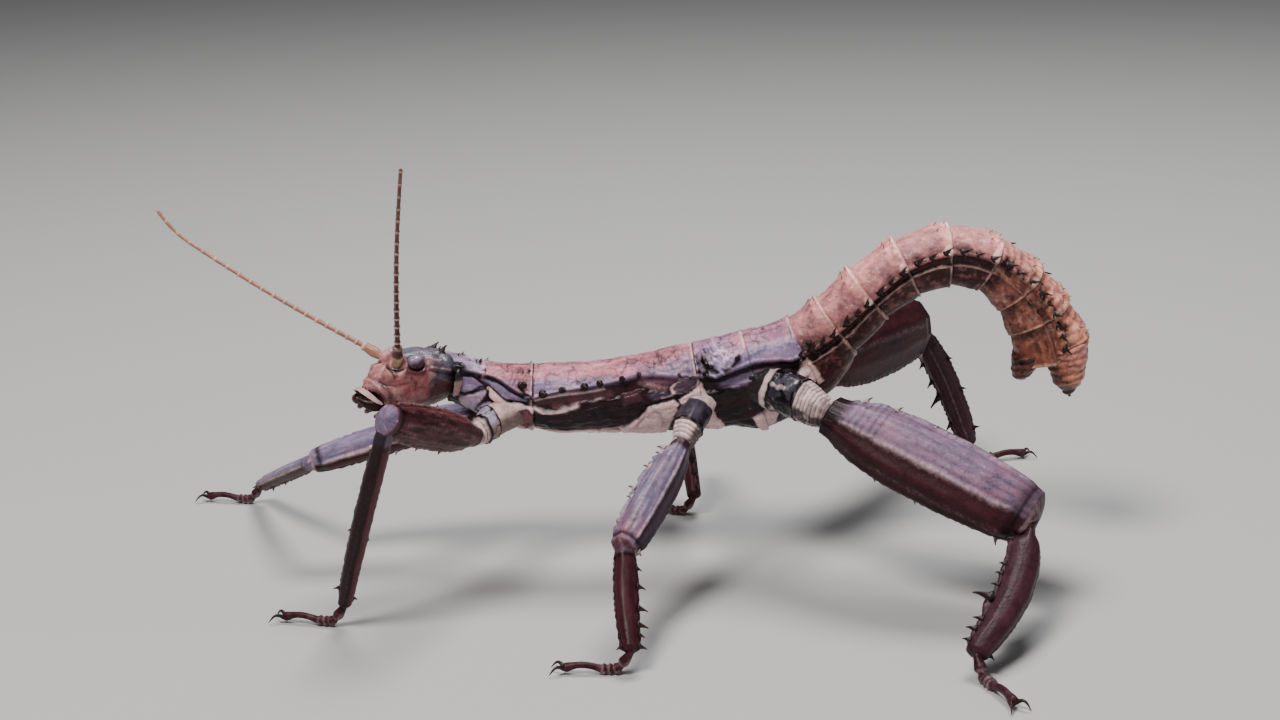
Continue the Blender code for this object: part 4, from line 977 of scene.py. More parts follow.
# Hips: a drum with a black ring, then soft pale ribs that run up to the femur.
hipDetails = {
    "front": {"ringAt": 0.42, "softAt": 0.64, "ribPitch": 0.75, "ribDepth": 0.08, "scale": 0.90, "under": 0.0,
              "aim": (0.7, -0.7), "root": tint(0.0, 1.0, 0.50, 0.45), "drum": tint(0.0, 0.0, 0.62, 0.1),
              "plates": 0.9, "marble": 0.1, "black": 0.0},
    "mid": {"ringAt": 0.10, "softAt": 0.50, "ribPitch": 0.85, "ribDepth": 0.26, "scale": 0.82, "under": 0.8,
            "aim": (0.9, -0.4), "root": tint(0.0, 0.6, 0.55, 0.6), "drum": tint(0.86, 0.0, 0.50),
            "plates": 0.25, "marble": 0.0, "black": 0.35},
    "hind": {"ringAt": 0.13, "softAt": 0.50, "ribPitch": 0.70, "ribDepth": 0.24, "scale": 0.84, "under": 0.9,
             "aim": (-0.5, -0.85), "root": tint(0.0, 0.6, 0.5, 0.7), "drum": tint(0.9, 0.0, 0.35),
             "plates": 0.3, "marble": 0.6, "black": 0.9},
}
softRibs = tint(0.0, 0.75, 0.48, 0.45)
hipReach = {"behind": 2.2, "clipped": 0.35}


def hipPiece(pair, side, seed):
    node = f"{pair}_{side}_coxa"
    detail, points = hipDetails[pair], cadPoints(node)
    femurRoot = skins[f"{pair}_{side}_femur"][0][:12].mean(axis=(0, 1))
    order = np.argsort(np.linalg.norm(points - femurRoot, axis=1))
    run = unit(points[order[:10]].mean(axis=0) - points[order[-8:]].mean(axis=0))
    left = squareTo(np.array((0.1, 0.2, 1.0)), run)
    middle = points.mean(axis=0)
    along = (points - middle) @ run
    cut = hipReach["clipped"] * np.ptp(along)
    tube, radii, place = castSkin(
        treeOf(node), middle, (run, left, np.cross(run, left)), along.min() + cut, along.max(), 0.7,
        hipReach["behind"] + cut, clear=0.3, fine=1.25)
    radii = radii * detail["scale"]
    share = (place + cut) / np.ptp(along) + 0 * radii
    grid = tube.grid(radii)
    noise = noiseOn(grid, seed)
    at = share - 0.04 * noise(1.8, 3)
    drum = ramp(at, detail["ringAt"] - 0.01, detail["ringAt"] + 0.01)
    soft = ramp(at, detail["softAt"], detail["softAt"] + 0.03)
    ring = hump(at - detail["ringAt"], 0.020) * (pair != "mid") + hump(at - detail["softAt"], 0.028)
    ribs = np.abs(np.sin(math.pi * (place + 0.14 * noise(2.2, 0)) / detail["ribPitch"])) ** 0.7
    marble = noise(1.3, 7)
    white = ramp(marble, 0.16, 0.32) * detail["marble"] * drum
    veins = hump(noise(2.0, 8), 0.06) * (1 - soft) * drum * detail["plates"]
    blots = ramp(noise(1.6, 10), 0.08, 0.24) * detail["black"]
    under = ramp(unit(grid - tube.centres[:, None])[..., (0, 2)] @ np.array(detail["aim"]), 0.05, 0.45)
    paint = Paint(radii.shape)
    for covered, values in ((1.0, detail["root"]), (drum, detail["drum"]), (soft, softRibs)):
        paint.turn(covered, **values)
    # The soft ribs are painted lighter on their crests and dark in their grooves: painted light and shade of the
    # folds.
    paint.tone += 0.22 * noise(0.8, 9) + soft * 0.16 * (ribs - 0.6) + 0.4 * white * (1 - soft)
    paint.blush += soft * 0.4 * marble
    paint.pale += soft * 0.30 * (ribs - 0.5)
    paint.most("pale", white * (1 - soft) * 0.85)
    paint.ink = np.clip(ring * 1.1 + veins + soft * ramp(-ribs, -0.50, -0.20) * 0.85, 0, 1)
    # Painted shade: the drum's underside, towards aim, is inked darker by the table's under amount.
    paint.most("ink", blots * drum * (1 - 0.45 * soft) * (1 - white),
               under * detail["under"] * drum * ramp(noise(0.9, 13), -0.35, 0.0))
    if pair == "hind":  # black next to the body, then a narrow pale fold
        paint.most("ink", 0.97 * (1 - ramp(at, 0.015, 0.035)))
    if pair == "front":  # brown below
        paint.turn(under * (1 - ramp(share, 0.60, 0.70)), flank=0.6, blush=1.0, pale=0.0)
    end = ramp(share, 0.94, 1.0)
    paint.most("flank", end * 0.6)
    paint.pale *= 1 - end
    radii = radii + soft * (ribs * detail["ribDepth"] - 0.20) + ring * 0.18 + (1 - soft) * 0.08 - veins * 0.14
    radii = radii + 0.12 * noise(1.4, 11) + 0.04 * noise(0.5, 12)
    skinPiece(pair + side.title() + "Hip", tube.grid(radii), paint, "hipSkin", "joint_skin", node)


for number, (pair, side) in enumerate(legNames):
    hipPiece(pair, side, 30 + number * 20)
print("hips made")


# The soft skin inside: it shows between the plates and at the neck.
coreSettings = {"turns": 64, "inset": 0.85, "neckRows": 40, "neckRadius": 2.05, "ribDepth": 0.14, "intoCollar": 1.4,
                "intoHead": 1.6, "sag": 0.35, "low": 1.2}


def innerSkin():
    angles, steps, core = around(coreSettings["turns"]), coreSettings["neckRows"], []
    headEnd = facingEnd("neck", "head", count=12).mean(axis=0)
    headAim = unit(headEnd - facingEnd("neck", "head", count=-12).mean(axis=0))
    start, run, left, up = joints[0]
    start, end = start + run * coreSettings["intoCollar"], headEnd + headAim * coreSettings["intoHead"]
    share = np.linspace(1, 0, steps)[:, None]
    ribs = np.abs(np.sin(np.arange(steps) * math.pi / 3.0))[::-1, None]
    neckRadii = (coreSettings["neckRadius"] + ribs * coreSettings["ribDepth"]) * (1 + 0.06 * np.sin(angles) ** 2)
    middles = start + (end - start) * share - up * coreSettings["sag"] * (1 - share)
    core.append((neckRadii, middles, rowsOf(left, steps), rowsOf(up, steps)))
    for index, name in enumerate(plateNames):
        centres, _, lefts, ups = trunkLine(index, np.linspace(0.08, 0.92, 6))
        centres = centres - ups * coreSettings["low"]
        core.append((castRadii(treeOf(name), centres, lefts, ups, angles, 2.0) - coreSettings["inset"],
                     centres, lefts, ups))
    radii, *line = (np.concatenate(values) for values in zip(*core))
    grid, paint = Tube(*line, angles).grid(radii), Paint(radii.shape)
    paint.blush += 0.4 * noiseOn(grid)(1.5, 60)
    # Painted shade: the grooves between the neck's ribs are darker, and the collar's shadow is painted black over the
    # top of the neck.
    paint.ink[:steps] = ramp(-ribs, -0.35, 0.0) * 0.35 + 0.95 * ramp(np.sin(angles), 0.20, 0.38)  # the collar's shade
    skinPiece("innerSkin", grid, paint, "jointSkin", "joint_skin", "neck")


innerSkin()
print("inner skin made")


# A round tube along a path, with a radius at each point, for feelers, feet and claws.
def tubeGrid(path, radii, count, sideHint, squash=1.0):
    runs = unit(np.gradient(path, axis=0))
    lefts = unit(sideHint - (runs @ sideHint)[:, None] * runs)
    return Tube(path, lefts, np.cross(runs, lefts) * squash, around(count)).grid(radii[:, None])


def finePath(corners, step, blur):  # a smoothed path, and the distances along it and at its corners
    distance = np.concatenate([[0], np.cumsum(np.linalg.norm(np.diff(corners, axis=0), axis=1))])
    fine = np.arange(0, distance[-1], step)
    path = np.stack([np.interp(fine, distance, corners[:, k]) for k in range(3)], axis=1)
    return blurred(path, blur, 0), fine, distance


# The head. Its places are along from the neck, out to either side, and above its axis. Its marks are
# drawn on a plan seen from ahead of the side: how far behind the eye, and how far above it.
headRing = facingEnd("head", "neck")
headRun = mainAxis(headRing, 2, cadPoints("mouthparts").mean(axis=0) - headRing.mean(axis=0))
headLeft = squareTo(unit(cadPoints("eye_left").mean(axis=0) - cadPoints("eye_right").mean(axis=0)), headRun)
headUp = np.cross(headRun, headLeft)
headAxes = (headRun, headLeft, headUp)
headOrigin = headRing.mean(axis=0) - headRun * 0.3
eyeSettings = {"along": 7.6, "out": 3.45, "above": 3.7, "radii": (1.42, 1.00, 1.12), "segments": 48, "rings": 28}


def headPlace(along, left, up):
    return headOrigin + headRun * along + headLeft * left + headUp * up


def fromHead(grid):
    return np.stack([(grid - headOrigin) @ axis for axis in headAxes], axis=-1)


def headPlan(along, aside, above):
    ahead = along - eyeSettings["along"]
    return 0.559 * (aside - 3.4) - 0.829 * ahead, 0.955 * (above - 3.6) - 0.154 * ahead - 0.228 * (aside - 3.4)


headZones = (  # outline on the plan, softness of its edge, and what the masks become
    (((2.3, 0.1), (2.5, -3.0), (6.5, -3.0), (6.5, 0.8), (3.0, 1.0)), 0.5, {"blush": 0.0, "tone": 0.22,
     "flank": 0.12}),
    (((3.0, -2.2), (2.4, -3.2), (1.6, -5.2), (2.0, -8), (7, -8), (7, -2.6)), 0.6, {"blush": 0.7, "flank": 0.78,
     "tone": 0.5}),
    (((1.4, 0.7), (1.6, -0.8), (2.2, -2.4), (3.1, -2.0), (2.6, -0.4), (2.4, 0.8)), 0.45, {"blush": 0.62,
     "tone": 0.62, "pale": 0.16}),
    (((-0.8, -3.9), (2.2, -3.7), (1.6, -5.4), (-0.6, -5.4)), 0.5, {"blush": 0.85, "tone": 0.75, "pale": 0.10}),
    (((-3.8, -1.3), (-1.2, -1.3), (0.6, -2.2), (0.5, -3.8), (-1.2, -4.4), (-2.6, -3.8), (-4.0, -2.6)), 0.5,
     {"blush": 1.0, "tone": 0.52, "pale": 0.0}),
    (((-7.6, -0.6), (-4.6, 0.0), (-4.3, -2.0), (-5.0, -4.0), (-7.0, -4.4)), 0.6, {"blush": 0.95, "tone": 0.62,
     "pale": 0.22}),
    (((2.2, 1.3), (4.6, 1.0), (4.9, 0.2), (2.6, 0.4)), 0.3, {"blush": 0.0, "tone": 0.42, "flank": 0.0}),
)
# A mark that lowers tone along a sunken line is painted shade in that groove.
headMarks = (  # line on the plan, width, lift, mask and amount
    (((-4.4, -0.5), (-4.0, -1.0), (-3.4, -1.25), (-2.6, -1.35), (-1.9, -1.15)), 0.17, -0.45, "ink", 1.0),
    (((-4.3, -0.7), (-3.6, -1.6), (-2.8, -2.5)), 0.13, -0.26, "ink", 0.75),
    (((-3.6, -1.3), (-3.0, -2.0), (-2.5, -2.35)), 0.11, -0.20, "ink", 0.60),
    (((-4.8, -1.3), (-4.6, -0.3), (-5.4, 0.4)), 0.24, 0.22, "pale", 0.55),
    (((-1.4, -1.3), (0.2, -1.55), (1.3, -1.1)), 0.20, 0.18, "flank", 0.45),
    (((-6.9, -2.4), (-6.2, -1.9), (-5.6, -2.2)), 0.28, 0.14, "tone", 0.30),
    (((-6.3, -2.6), (-5.5, -3.0), (-4.9, -3.7)), 0.16, -0.14, "tone", -0.30),
    (((-4.6, -2.9), (-3.6, -3.5), (-2.6, -3.6), (-1.4, -3.3)), 0.22, -0.16, "tone", -0.22),
    (((-0.4, -2.4), (0.3, -3.2), (0.2, -4.2)), 0.20, -0.12, "tone", -0.20),
    (((2.4, -0.5), (3.6, -0.7), (4.9, -0.9)), 0.16, 0.16, "pale", 0.30),
    (((2.2, -0.9), (3.6, -1.2), (5.0, -1.5)), 0.20, -0.12, "ink", 0.65),
    (((2.8, -1.7), (4.0, -2.2), (5.2, -2.6)), 0.16, 0.10, "tone", 0.30),
    (((1.6, 0.9), (2.6, 0.6), (3.6, 0.6)), 0.13, 0.10, "pale", 0.30),
    (((1.5, 0.0), (1.9, 0.25)), 0.10, 0.0, "pale", 0.6),
    (((0.4, 1.6), (1.8, 1.5), (3.2, 1.1)), 0.16, -0.10, "tone", -0.28),
)
headLobes = (  # along, aside, above, radius, lift, mask and amount
    (13.2, 2.9, -0.1, 0.95, 0.40, "pale", 0.55),
    (11.2, 3.7, -0.7, 1.30, 0.45, "pale", 0.50),
    (9.3, 3.6, -2.6, 1.10, 0.50, "pale", 0.42),
    (12.9, 1.2, 2.2, 1.30, 0.30, "pale", 0.12),
    (4.6, 1.6, 4.6, 1.6, 0.22, "tone", 0.10),
    (8.2, 0.8, 4.8, 1.2, 0.15, "tone", 0.08),
    (2.6, 1.2, 4.1, 0.55, 0.22, "ink", 0.85),
    # a bulge on the cheek, painted a little lighter: a painted highlight
    (5.6, 4.3, -0.4, 1.5, 0.16, "tone", 0.05),
)
socket = {"along": 10.35, "aside": 2.45, "ring": 1.12, "width": 0.46, "lift": 0.62}


def headPiece():
    tube, radii, place = castSkin(treeOf("head"), headOrigin, headAxes, 0.3, 13.2, 0.9, 0.5, clear=0.12, turns=120,
                                  blurAlong=0.45, blurRound=3.0, fine=1.7)
    radii = roundedEnds(radii, place, -0.5, 13.8, 0.7, 4.2) * 1.03
    local, paint, drawn = fromHead(tube.grid(radii)), Paint(radii.shape), (0.45, 1, 1)
    noise = noiseOn(local)
    along, aside, above = local[..., 0], np.abs(local[..., 1]), local[..., 2]
    radii = radii + 0.75 * (1 - ramp(along, 0.6, 4.0)) * ramp(above, 0.8, 2.4)
    crown = ramp(above + 0.25 * noise(1.2, 69) - 0.10 * (along - 6), 2.4, 3.7) * (1 - ramp(along, 8.2, 9.4))
    paint.blush = 1 - 0.92 * crown
    paint.tone += 0.10 * crown
    paint.flank = 0.80 * ramp(-above, 1.5, 2.6) * (1 - ramp(along, 7.5, 9.5))
    across, up = headPlan(along, aside, above)
    ragged = 0.25 * noise(0.9, 75)
    for corners, soft, values in headZones:
        paint.turn(ramp(insideOf(across, up, corners) + ragged, -soft, soft), **values)
    paint.blush += 0.22 * noise(1.1, 70)
    paint.tone += 0.20 * noise(0.7, 71) + 0.16 * noise(0.35, 76, drawn)
    for x, y, z, radius, lift, mask, amount in headLobes:
        near = hump(np.sqrt((along - x) ** 2 + (aside - y) ** 2 + (above - z) ** 2), radius)
        radii = radii + near * lift
        paint.add(mask, near * amount)
    for corners, width, lift, mask, amount in headMarks:
        near = hump(fromLine(across, up, corners), width) * ramp(aside, 0.2, 0.9)
        radii = radii + near * lift
        paint.add(mask, near * amount, -0.3)

    # A swollen ring round each feeler's root, with a dark fold round the eye.
    dx, dy = along - socket["along"], aside - socket["aside"]
    ring = hump(np.hypot(dx, dy) - socket["ring"], socket["width"]) * ramp(above, 1.0, 2.2)
    away = np.sqrt(((along - eyeSettings["along"]) / 1.2) ** 2 + (above - 3.6) ** 2) - 1.22
    lid = ramp(aside, 1.6, 2.6)
    radii = radii + ring * socket["lift"] * (1 + 0.35 * np.sin(3 * np.arctan2(dy, dx)))
    radii = radii + hump(away - 0.12, 0.26) * 0.24 * lid - ramp(-away, 0.1, 0.5) * 0.30 * lid
    paint.most("pale", ring * 0.62)
    paint.most("blush", ring)
    paint.most("flank", hump(away + 0.05, 0.24) * 0.75 * lid)
    paint.most("ink", ramp(0.62 - np.hypot(dx, dy), 0, 0.2) * ramp(above, 1.0, 2.0) * 0.9,
               hump(away + 0.18, 0.16) * 0.7 * lid)

    # The rim over the lip, the fold above it, and the rim at the neck.
    ahead = along - 12.85 + 0.05 * aside ** 2 - 0.28 * above
    rim = hump(ahead, 0.26) * ramp(2.2 - above, 0, 0.8) * ramp(above, -3.2, -2.2)
    fold = hump(ahead + 0.55, 0.20) * ramp(2.0 - above, 0, 0.8) * ramp(above, -3.0, -2.0)
    rear = hump(along - 0.15, 0.30)
    radii = radii + rim * 0.34 - fold * 0.20 + rear * 0.16
    radii = radii + 0.05 * noise(0.45, 72) + 0.10 * noise(1.6, 73) + 0.05 * noise(0.5, 74, drawn)
    paint.most("pale", rim * 0.60)
    paint.most("ink", rear * 0.75)
    # The fold is painted darker: painted shade in its groove.
    paint.tone -= fold * 0.35
    bulge = ramp(along, 10.2, 13.0) * ramp(above, -1.8, 0.2) * (1 - ramp(above, 1.8, 3.4))
    grid = tube.grid(radii) + headRun * (0.75 * bulge)[..., None]
    skins["head"] = (grid, fromHead(grid))
    skinPiece("headShell", grid, paint, "headShell", "shell_brown", "head")


# The mouth: a soft block, the lip over it, two jaws and four palps.
mouthParts = {
    "lip": {"path": ((12.9, -3.4, -2.3), (14.0, -3.0, -1.6), (14.9, -1.8, -0.7), (15.3, 0, -0.25), (14.9, 1.8, -0.7),
                     (14.0, 3.0, -1.6), (12.9, 3.4, -2.3)), "radius": 0.52, "squash": 0.42},
    "jaw": {"path": ((12.4, 2.2, -2.2), (14.0, 2.3, -2.5), (15.1, 1.7, -2.2), (15.8, 0.8, -1.7), (16.2, 0.3, -1.2)),
            "radii": (1.10, 1.00, 0.72, 0.34, 0.05)},
    "upperPalp": {"path": ((10.4, 3.3, -2.5), (11.8, 3.7, -3.2), (13.2, 3.3, -3.7), (14.2, 2.6, -4.1)),
                  "radii": (0.62, 0.58, 0.52, 0.30)},
    "lowerPalp": {"path": ((11.6, 1.3, -3.6), (12.8, 1.7, -4.3), (13.8, 1.4, -4.6)), "radii": (0.5, 0.45, 0.25)},
}


def lipPiece():
    detail, count = mouthParts["lip"], 36
    path, fine, _ = finePath(np.array([headPlace(*corner) for corner in detail["path"]]), 0.10, 3.5)
    share = fine / fine[-1]
    radii = detail["radius"] * np.clip(1 - (2 * share - 1) ** 2, 0.004, 1) ** 0.55
    radii = radii * (1 - 0.12 * hump(share - 0.5, 0.06))
    grid = tubeGrid(path, radii, count, headRun * 0.75 + headUp * -0.30, detail["squash"])
    paint, ahead = Paint(grid.shape[:2]), np.cos(around(count))
    paint.pale += 0.60 + 0.35 * ramp(ahead, 0.3, 0.9)
    paint.flank += 0.5 * ramp(-ahead, 0.2, 0.8)
    paint.tone += 0.2 * noiseOn(grid)(0.8, 77)
    skinPiece("mouthLip", grid, paint, "mouthShell", "mouth")


def mouthPiece(part, side):
    detail, palp = mouthParts[part], part != "jaw"
    mirror = (1, 1 if side == "Left" else -1, 1)
    corners = [headPlace(*corner) for corner in np.array(detail["path"]) * mirror]
    path, fine, distance = finePath(np.array(corners), 0.10, 3.5)
    share = (fine / fine[-1])[:, None]
    rings = np.abs(np.sin(math.pi * share * 3)) ** 0.35 if palp else np.ones(share.shape)
    radii = np.interp(fine, distance, detail["radii"]) * (0.80 + 0.22 * rings[:, 0])
    radii = radii * np.sqrt(np.clip(fine / 0.3, 0.05, 1) * np.clip((fine[-1] - fine) / 0.35, 0.02, 1))
    grid = tubeGrid(path, radii, 26, headUp, 1.0 if palp else 0.85)
    noise, paint = noiseOn(grid), Paint(grid.shape[:2])
    paint.tone += 0.25 * noise(0.6, 78)
    if palp:
        paint.pale += 0.06 + 0.30 * (1 - rings)
        paint.flank += 0.75 * (1 - ramp(share, 0.75, 0.95))
    else:
        paint.flank += 1.0 - 0.8 * ramp(share, 0.86, 0.98)
        paint.ink += 0.50 * (1 - ramp(share, 0.78, 0.95)) * (1 + 0.6 * noise(0.7, 87))
        paint.blush += 0.9
        paint.tone += 0.3 * ramp(share, 0.8, 0.95)
    skinPiece(part + side, grid, paint, "mouthShell", "mouth")


def mouthBlock():
    tube, radii, place = castSkin(treeOf("mouthparts"), headOrigin, headAxes, 8.6, 15.5, clear=0.5, blurRound=2.0)
    radii = roundedEnds(radii, place, 0, place.max(), 0.6, 4.2) * 0.84
    local, paint = fromHead(tube.grid(radii)), Paint(radii.shape)
    noise, front, aside = noiseOn(local), ramp(local[..., 0], 11.6, 13.2), np.abs(local[..., 1])
    grooves = hump(aside - 1.5, 0.22) + hump(aside - 0.1, 0.16)
    paint.flank += 0.55 * (1 - front) * ramp(noise(1.0, 79), -0.2, 0.4)
    paint.pale += 0.35 * (1 - front)
    # Painted shadow: the block's front, between the lip, jaws and palps, is inked black, and its grooves are inked as
    # painted shade.
    paint.add("ink", 0.9 * front + grooves * 0.5)
    radii = radii - grooves * 0.22 + 0.10 * noise(0.9, 80)
    skinPiece("mouthBlock", tube.grid(radii), paint, "mouthShell", "mouth", "mouthparts")


headPiece()
mouthBlock()
lipPiece()
for side in ("Left", "Right"):
    for part in ("jaw", "upperPalp", "lowerPalp"):
        mouthPiece(part, side)
print("head made")

# The eyes.
for side, sign in (("left", 1), ("right", -1)):
    bpy.ops.object.select_all(action="DESELECT")
    bpy.ops.mesh.primitive_uv_sphere_add(segments=eyeSettings["segments"], ring_count=eyeSettings["rings"], radius=mm)
    bead = bpy.context.object
    bead.name = "eye" + side.title()
    basis = Matrix([list(axis * radius) for axis, radius in zip(headAxes, eyeSettings["radii"])]).transposed()
    place = headPlace(eyeSettings["along"], eyeSettings["out"] * sign, eyeSettings["above"])
    bead.data.transform(Matrix.Translation(Vector(place) * mm) @ basis.to_4x4())
    # The height over the eye's middle, kept as tone, places the painted highlight: the pale cap of light.
    heights = np.array([(np.array(vert.co) / mm - place) @ (headUp + 0.35 * headRun) for vert in bead.data.vertices])
    bead.data.attributes.new("tone", "FLOAT", "POINT").data.foreach_set(
        "value", ramp(heights, 0.05, 0.95).astype(np.float32))
    bead.data.shade_smooth()
    bead.data.materials.append(looks["eyeBead"])
    dress(bead, ["eye_" + side])
print("eyes made")


# The tail: the beak plate and the cup plate.
def tailPiece(node, name, farCap):
    points, beak = cadPoints(node), node == "abdomen_10"
    middle, run = points.mean(axis=0), unit(joints[-1][1] + np.array((0.0, 0, -0.3)))
    up = squareTo(joints[-1][3], run)
    along = (points - middle) @ run
    tube, radii, place = castSkin(treeOf(node), middle, (run, np.cross(run, up), up), along.min(), along.max(), 0.2,
                                  0.3, clear=0.5, blurRound=2.5)
    radii = roundedEnds(radii, place, -0.3, np.ptp(along) + 0.2, 0.5, farCap)
    grid, paint = tube.grid(radii), Paint(radii.shape)
    noise, outer, left = noiseOn(grid), ((grid - middle) @ up) / radii.max(), place.max() - place
    wrinkles = np.sin(place * 5.4 + 2.0 * noise(1.5, 84))
    stains = ramp(noise(0.75, 86), 0.20, 0.45) * (0.55 if beak else 0.85)
    tip = ramp(-left, -2.9, -1.9) * (1 - ramp(outer, 0.1, 0.5)) if beak else ramp(-left, -1.3, -0.7) + 0 * radii
    paint.blush = 0.4 + 0.6 * ramp(place / place.max(), 0.1, 0.6) + 0.3 * noise(1.3, 80)
    paint.flank = (1 - ramp(outer, -0.35, 0.25)) * 0.85 if beak else np.full(radii.shape, 0.88)
    # The wrinkles' ridges are painted lighter and their troughs darker: painted light and shade.
    paint.tone += 0.3 * noise(0.7, 81) + 0.2 * ramp(outer, -0.2, 0.6) + 0.26 * wrinkles
    # The cup is darker all over, and its start darker still: painted shade where it lies under the last plate.
    paint.tone -= 0.3 * ramp(noise(0.5, 85), 0.3, 0.6) + (0.10 if beak else 0.34 + 0.2 * (1 - ramp(place, 0.5, 1.6)))
    # The far tip is inked near black: its own dark tip, and on the beak, whose tip is sunk, also painted shade in its
    # opening.
    paint.most("ink", tip * 0.9, stains * (1 - 0.7 * ramp(outer, -0.1, 0.3) * beak))
    rims = hump(np.sin(place * 2.4 + 0.8 * noise(2.0, 82)) - 1, 0.8)
    radii = radii + 0.14 * noise(1.1, 83) + 0.10 * (rims + wrinkles) + 0.15 * hump(place - 0.7, 0.4)
    radii = radii - tip * 0.3 * beak
    skinPiece(name, tube.grid(radii), paint, "tailShell", "shell_tan", node)


tailPiece("abdomen_10", "tailBeak", 3.0)
tailPiece("genital_plate", "tailCup", 1.6)
print("tail made")

# The feelers: a stout root, then a whip of short joints, each ending in a pale ring.
feelerDetails = {
    "left": {"joint": 1.55, "dark": 1.0, "rootPale": 0.30, "foot": 0.75},
    "right": {"joint": 1.70, "dark": 0.10, "rootPale": 0.85, "foot": 0.2},
}
solidSides = 6  # corners of a feeler solid's section


def feelerPiece(side, seed):
    detail, node = feelerDetails[side], "antenna_" + side
    points, base = cadPoints(node), cadPoints(node + "_base")
    root = base.mean(axis=0)
    points = points[np.argsort(np.linalg.norm(points - root, axis=1))]
    rings = [points[k:k + solidSides] for k in range(0, len(points) - solidSides + 1, solidSides)]
    corners = np.array([ring.mean(axis=0) for ring in rings])
    size = np.array([np.linalg.norm(ring - ring.mean(axis=0), axis=1).mean() for ring in rings])
    aim = corners[4] - root
    corners = np.concatenate([[corners[0] - unit(corners[0] - root) * 0.6], corners])
    path, fine, distance = finePath(corners, 0.12, 8)
    share = fine / distance[-1]
    step = fine / (detail["joint"] * (1 + 0.25 * share)) % 1
    ring = hump(step - 0.90, 0.09)
    radii = np.interp(fine, distance, np.append(size[0], size)) * 0.92
    radii *= 0.90 + 0.12 * step + 0.30 * ring * (1 - 0.6 * share)
    radii *= np.sqrt(np.clip((distance[-1] - fine) / 0.6, 0.02, 1))
    grid = tubeGrid(path, radii, 14, np.array((0.2, 1.0, 0.1)))
    noise, paint = noiseOn(grid, seed), Paint(grid.shape[:2])
    paint.blush = detail["dark"] * (1 - 0.35 * share)[:, None] + 0.15 * noise(0.8, 0)
    paint.pale += (ring * (1 - 0.4 * share) * 0.9)[:, None]
    paint.tone += 0.2 * noise(0.6, 1)
    skinPiece("feeler" + side.title(), grid, paint, "feelerShell", "feeler", node)

    middle, run, low, high = longAxis(base, aim)
    left = squareTo(np.array((0.0, 1.0, 0.2)), run)
    tube, radii, place = castSkin(treeOf(node + "_base"), middle, (run, left, np.cross(run, left)), low, high, 0.3,
                                  0.8, clear=0.9, blurRound=3)
    share = place / (high - low)
    radii = radii * (0.80 + 0.30 * hump(share - 0.42, 0.30)) + 0.12 * hump(share - 0.97, 0.10)
    radii = roundedEnds(radii, place, -0.8, high - low + 0.3, 0.3, 0.4)
    grid, paint = tube.grid(radii), Paint(radii.shape)
    noise, foot = noiseOn(grid, seed), 1 - ramp(share, 0.42, 0.62)
    paint.blush = detail["dark"] * (1 - 0.85 * foot) + 0.2 * noise(0.8, 2)
    paint.flank = ramp(np.cos(tube.angle + 0.6), 0.1, 0.5) * hump(share - 0.45, 0.32) * 0.8 * (1 - 0.8 * foot)
    paint.most("pale", detail["rootPale"] * np.maximum(hump(share - 0.97, 0.09), 0.35 * hump(share - 0.05, 0.2)),
               foot * detail["foot"] * (0.7 + 0.5 * noise(0.9, 3)))
    skinPiece("feelerRoot" + side.title(), grid, paint, "feelerShell", "feeler", node + "_base")


feelerPiece("left", 90)
feelerPiece("right", 95)
print("feelers made")

# The feet: four short lobed joints, then a long arched one that carries two claws.
footDetails = {"jointEnds": (0.14, 0.24, 0.33, 0.42, 1.0), "lobeRadius": 0.82, "slimRadius": 0.50, "tipRadius": 0.74,
               "arch": 0.55, "sole": 0.66, "clawLength": 2.7, "clawSpread": 40.0, "clawRadius": 0.30}


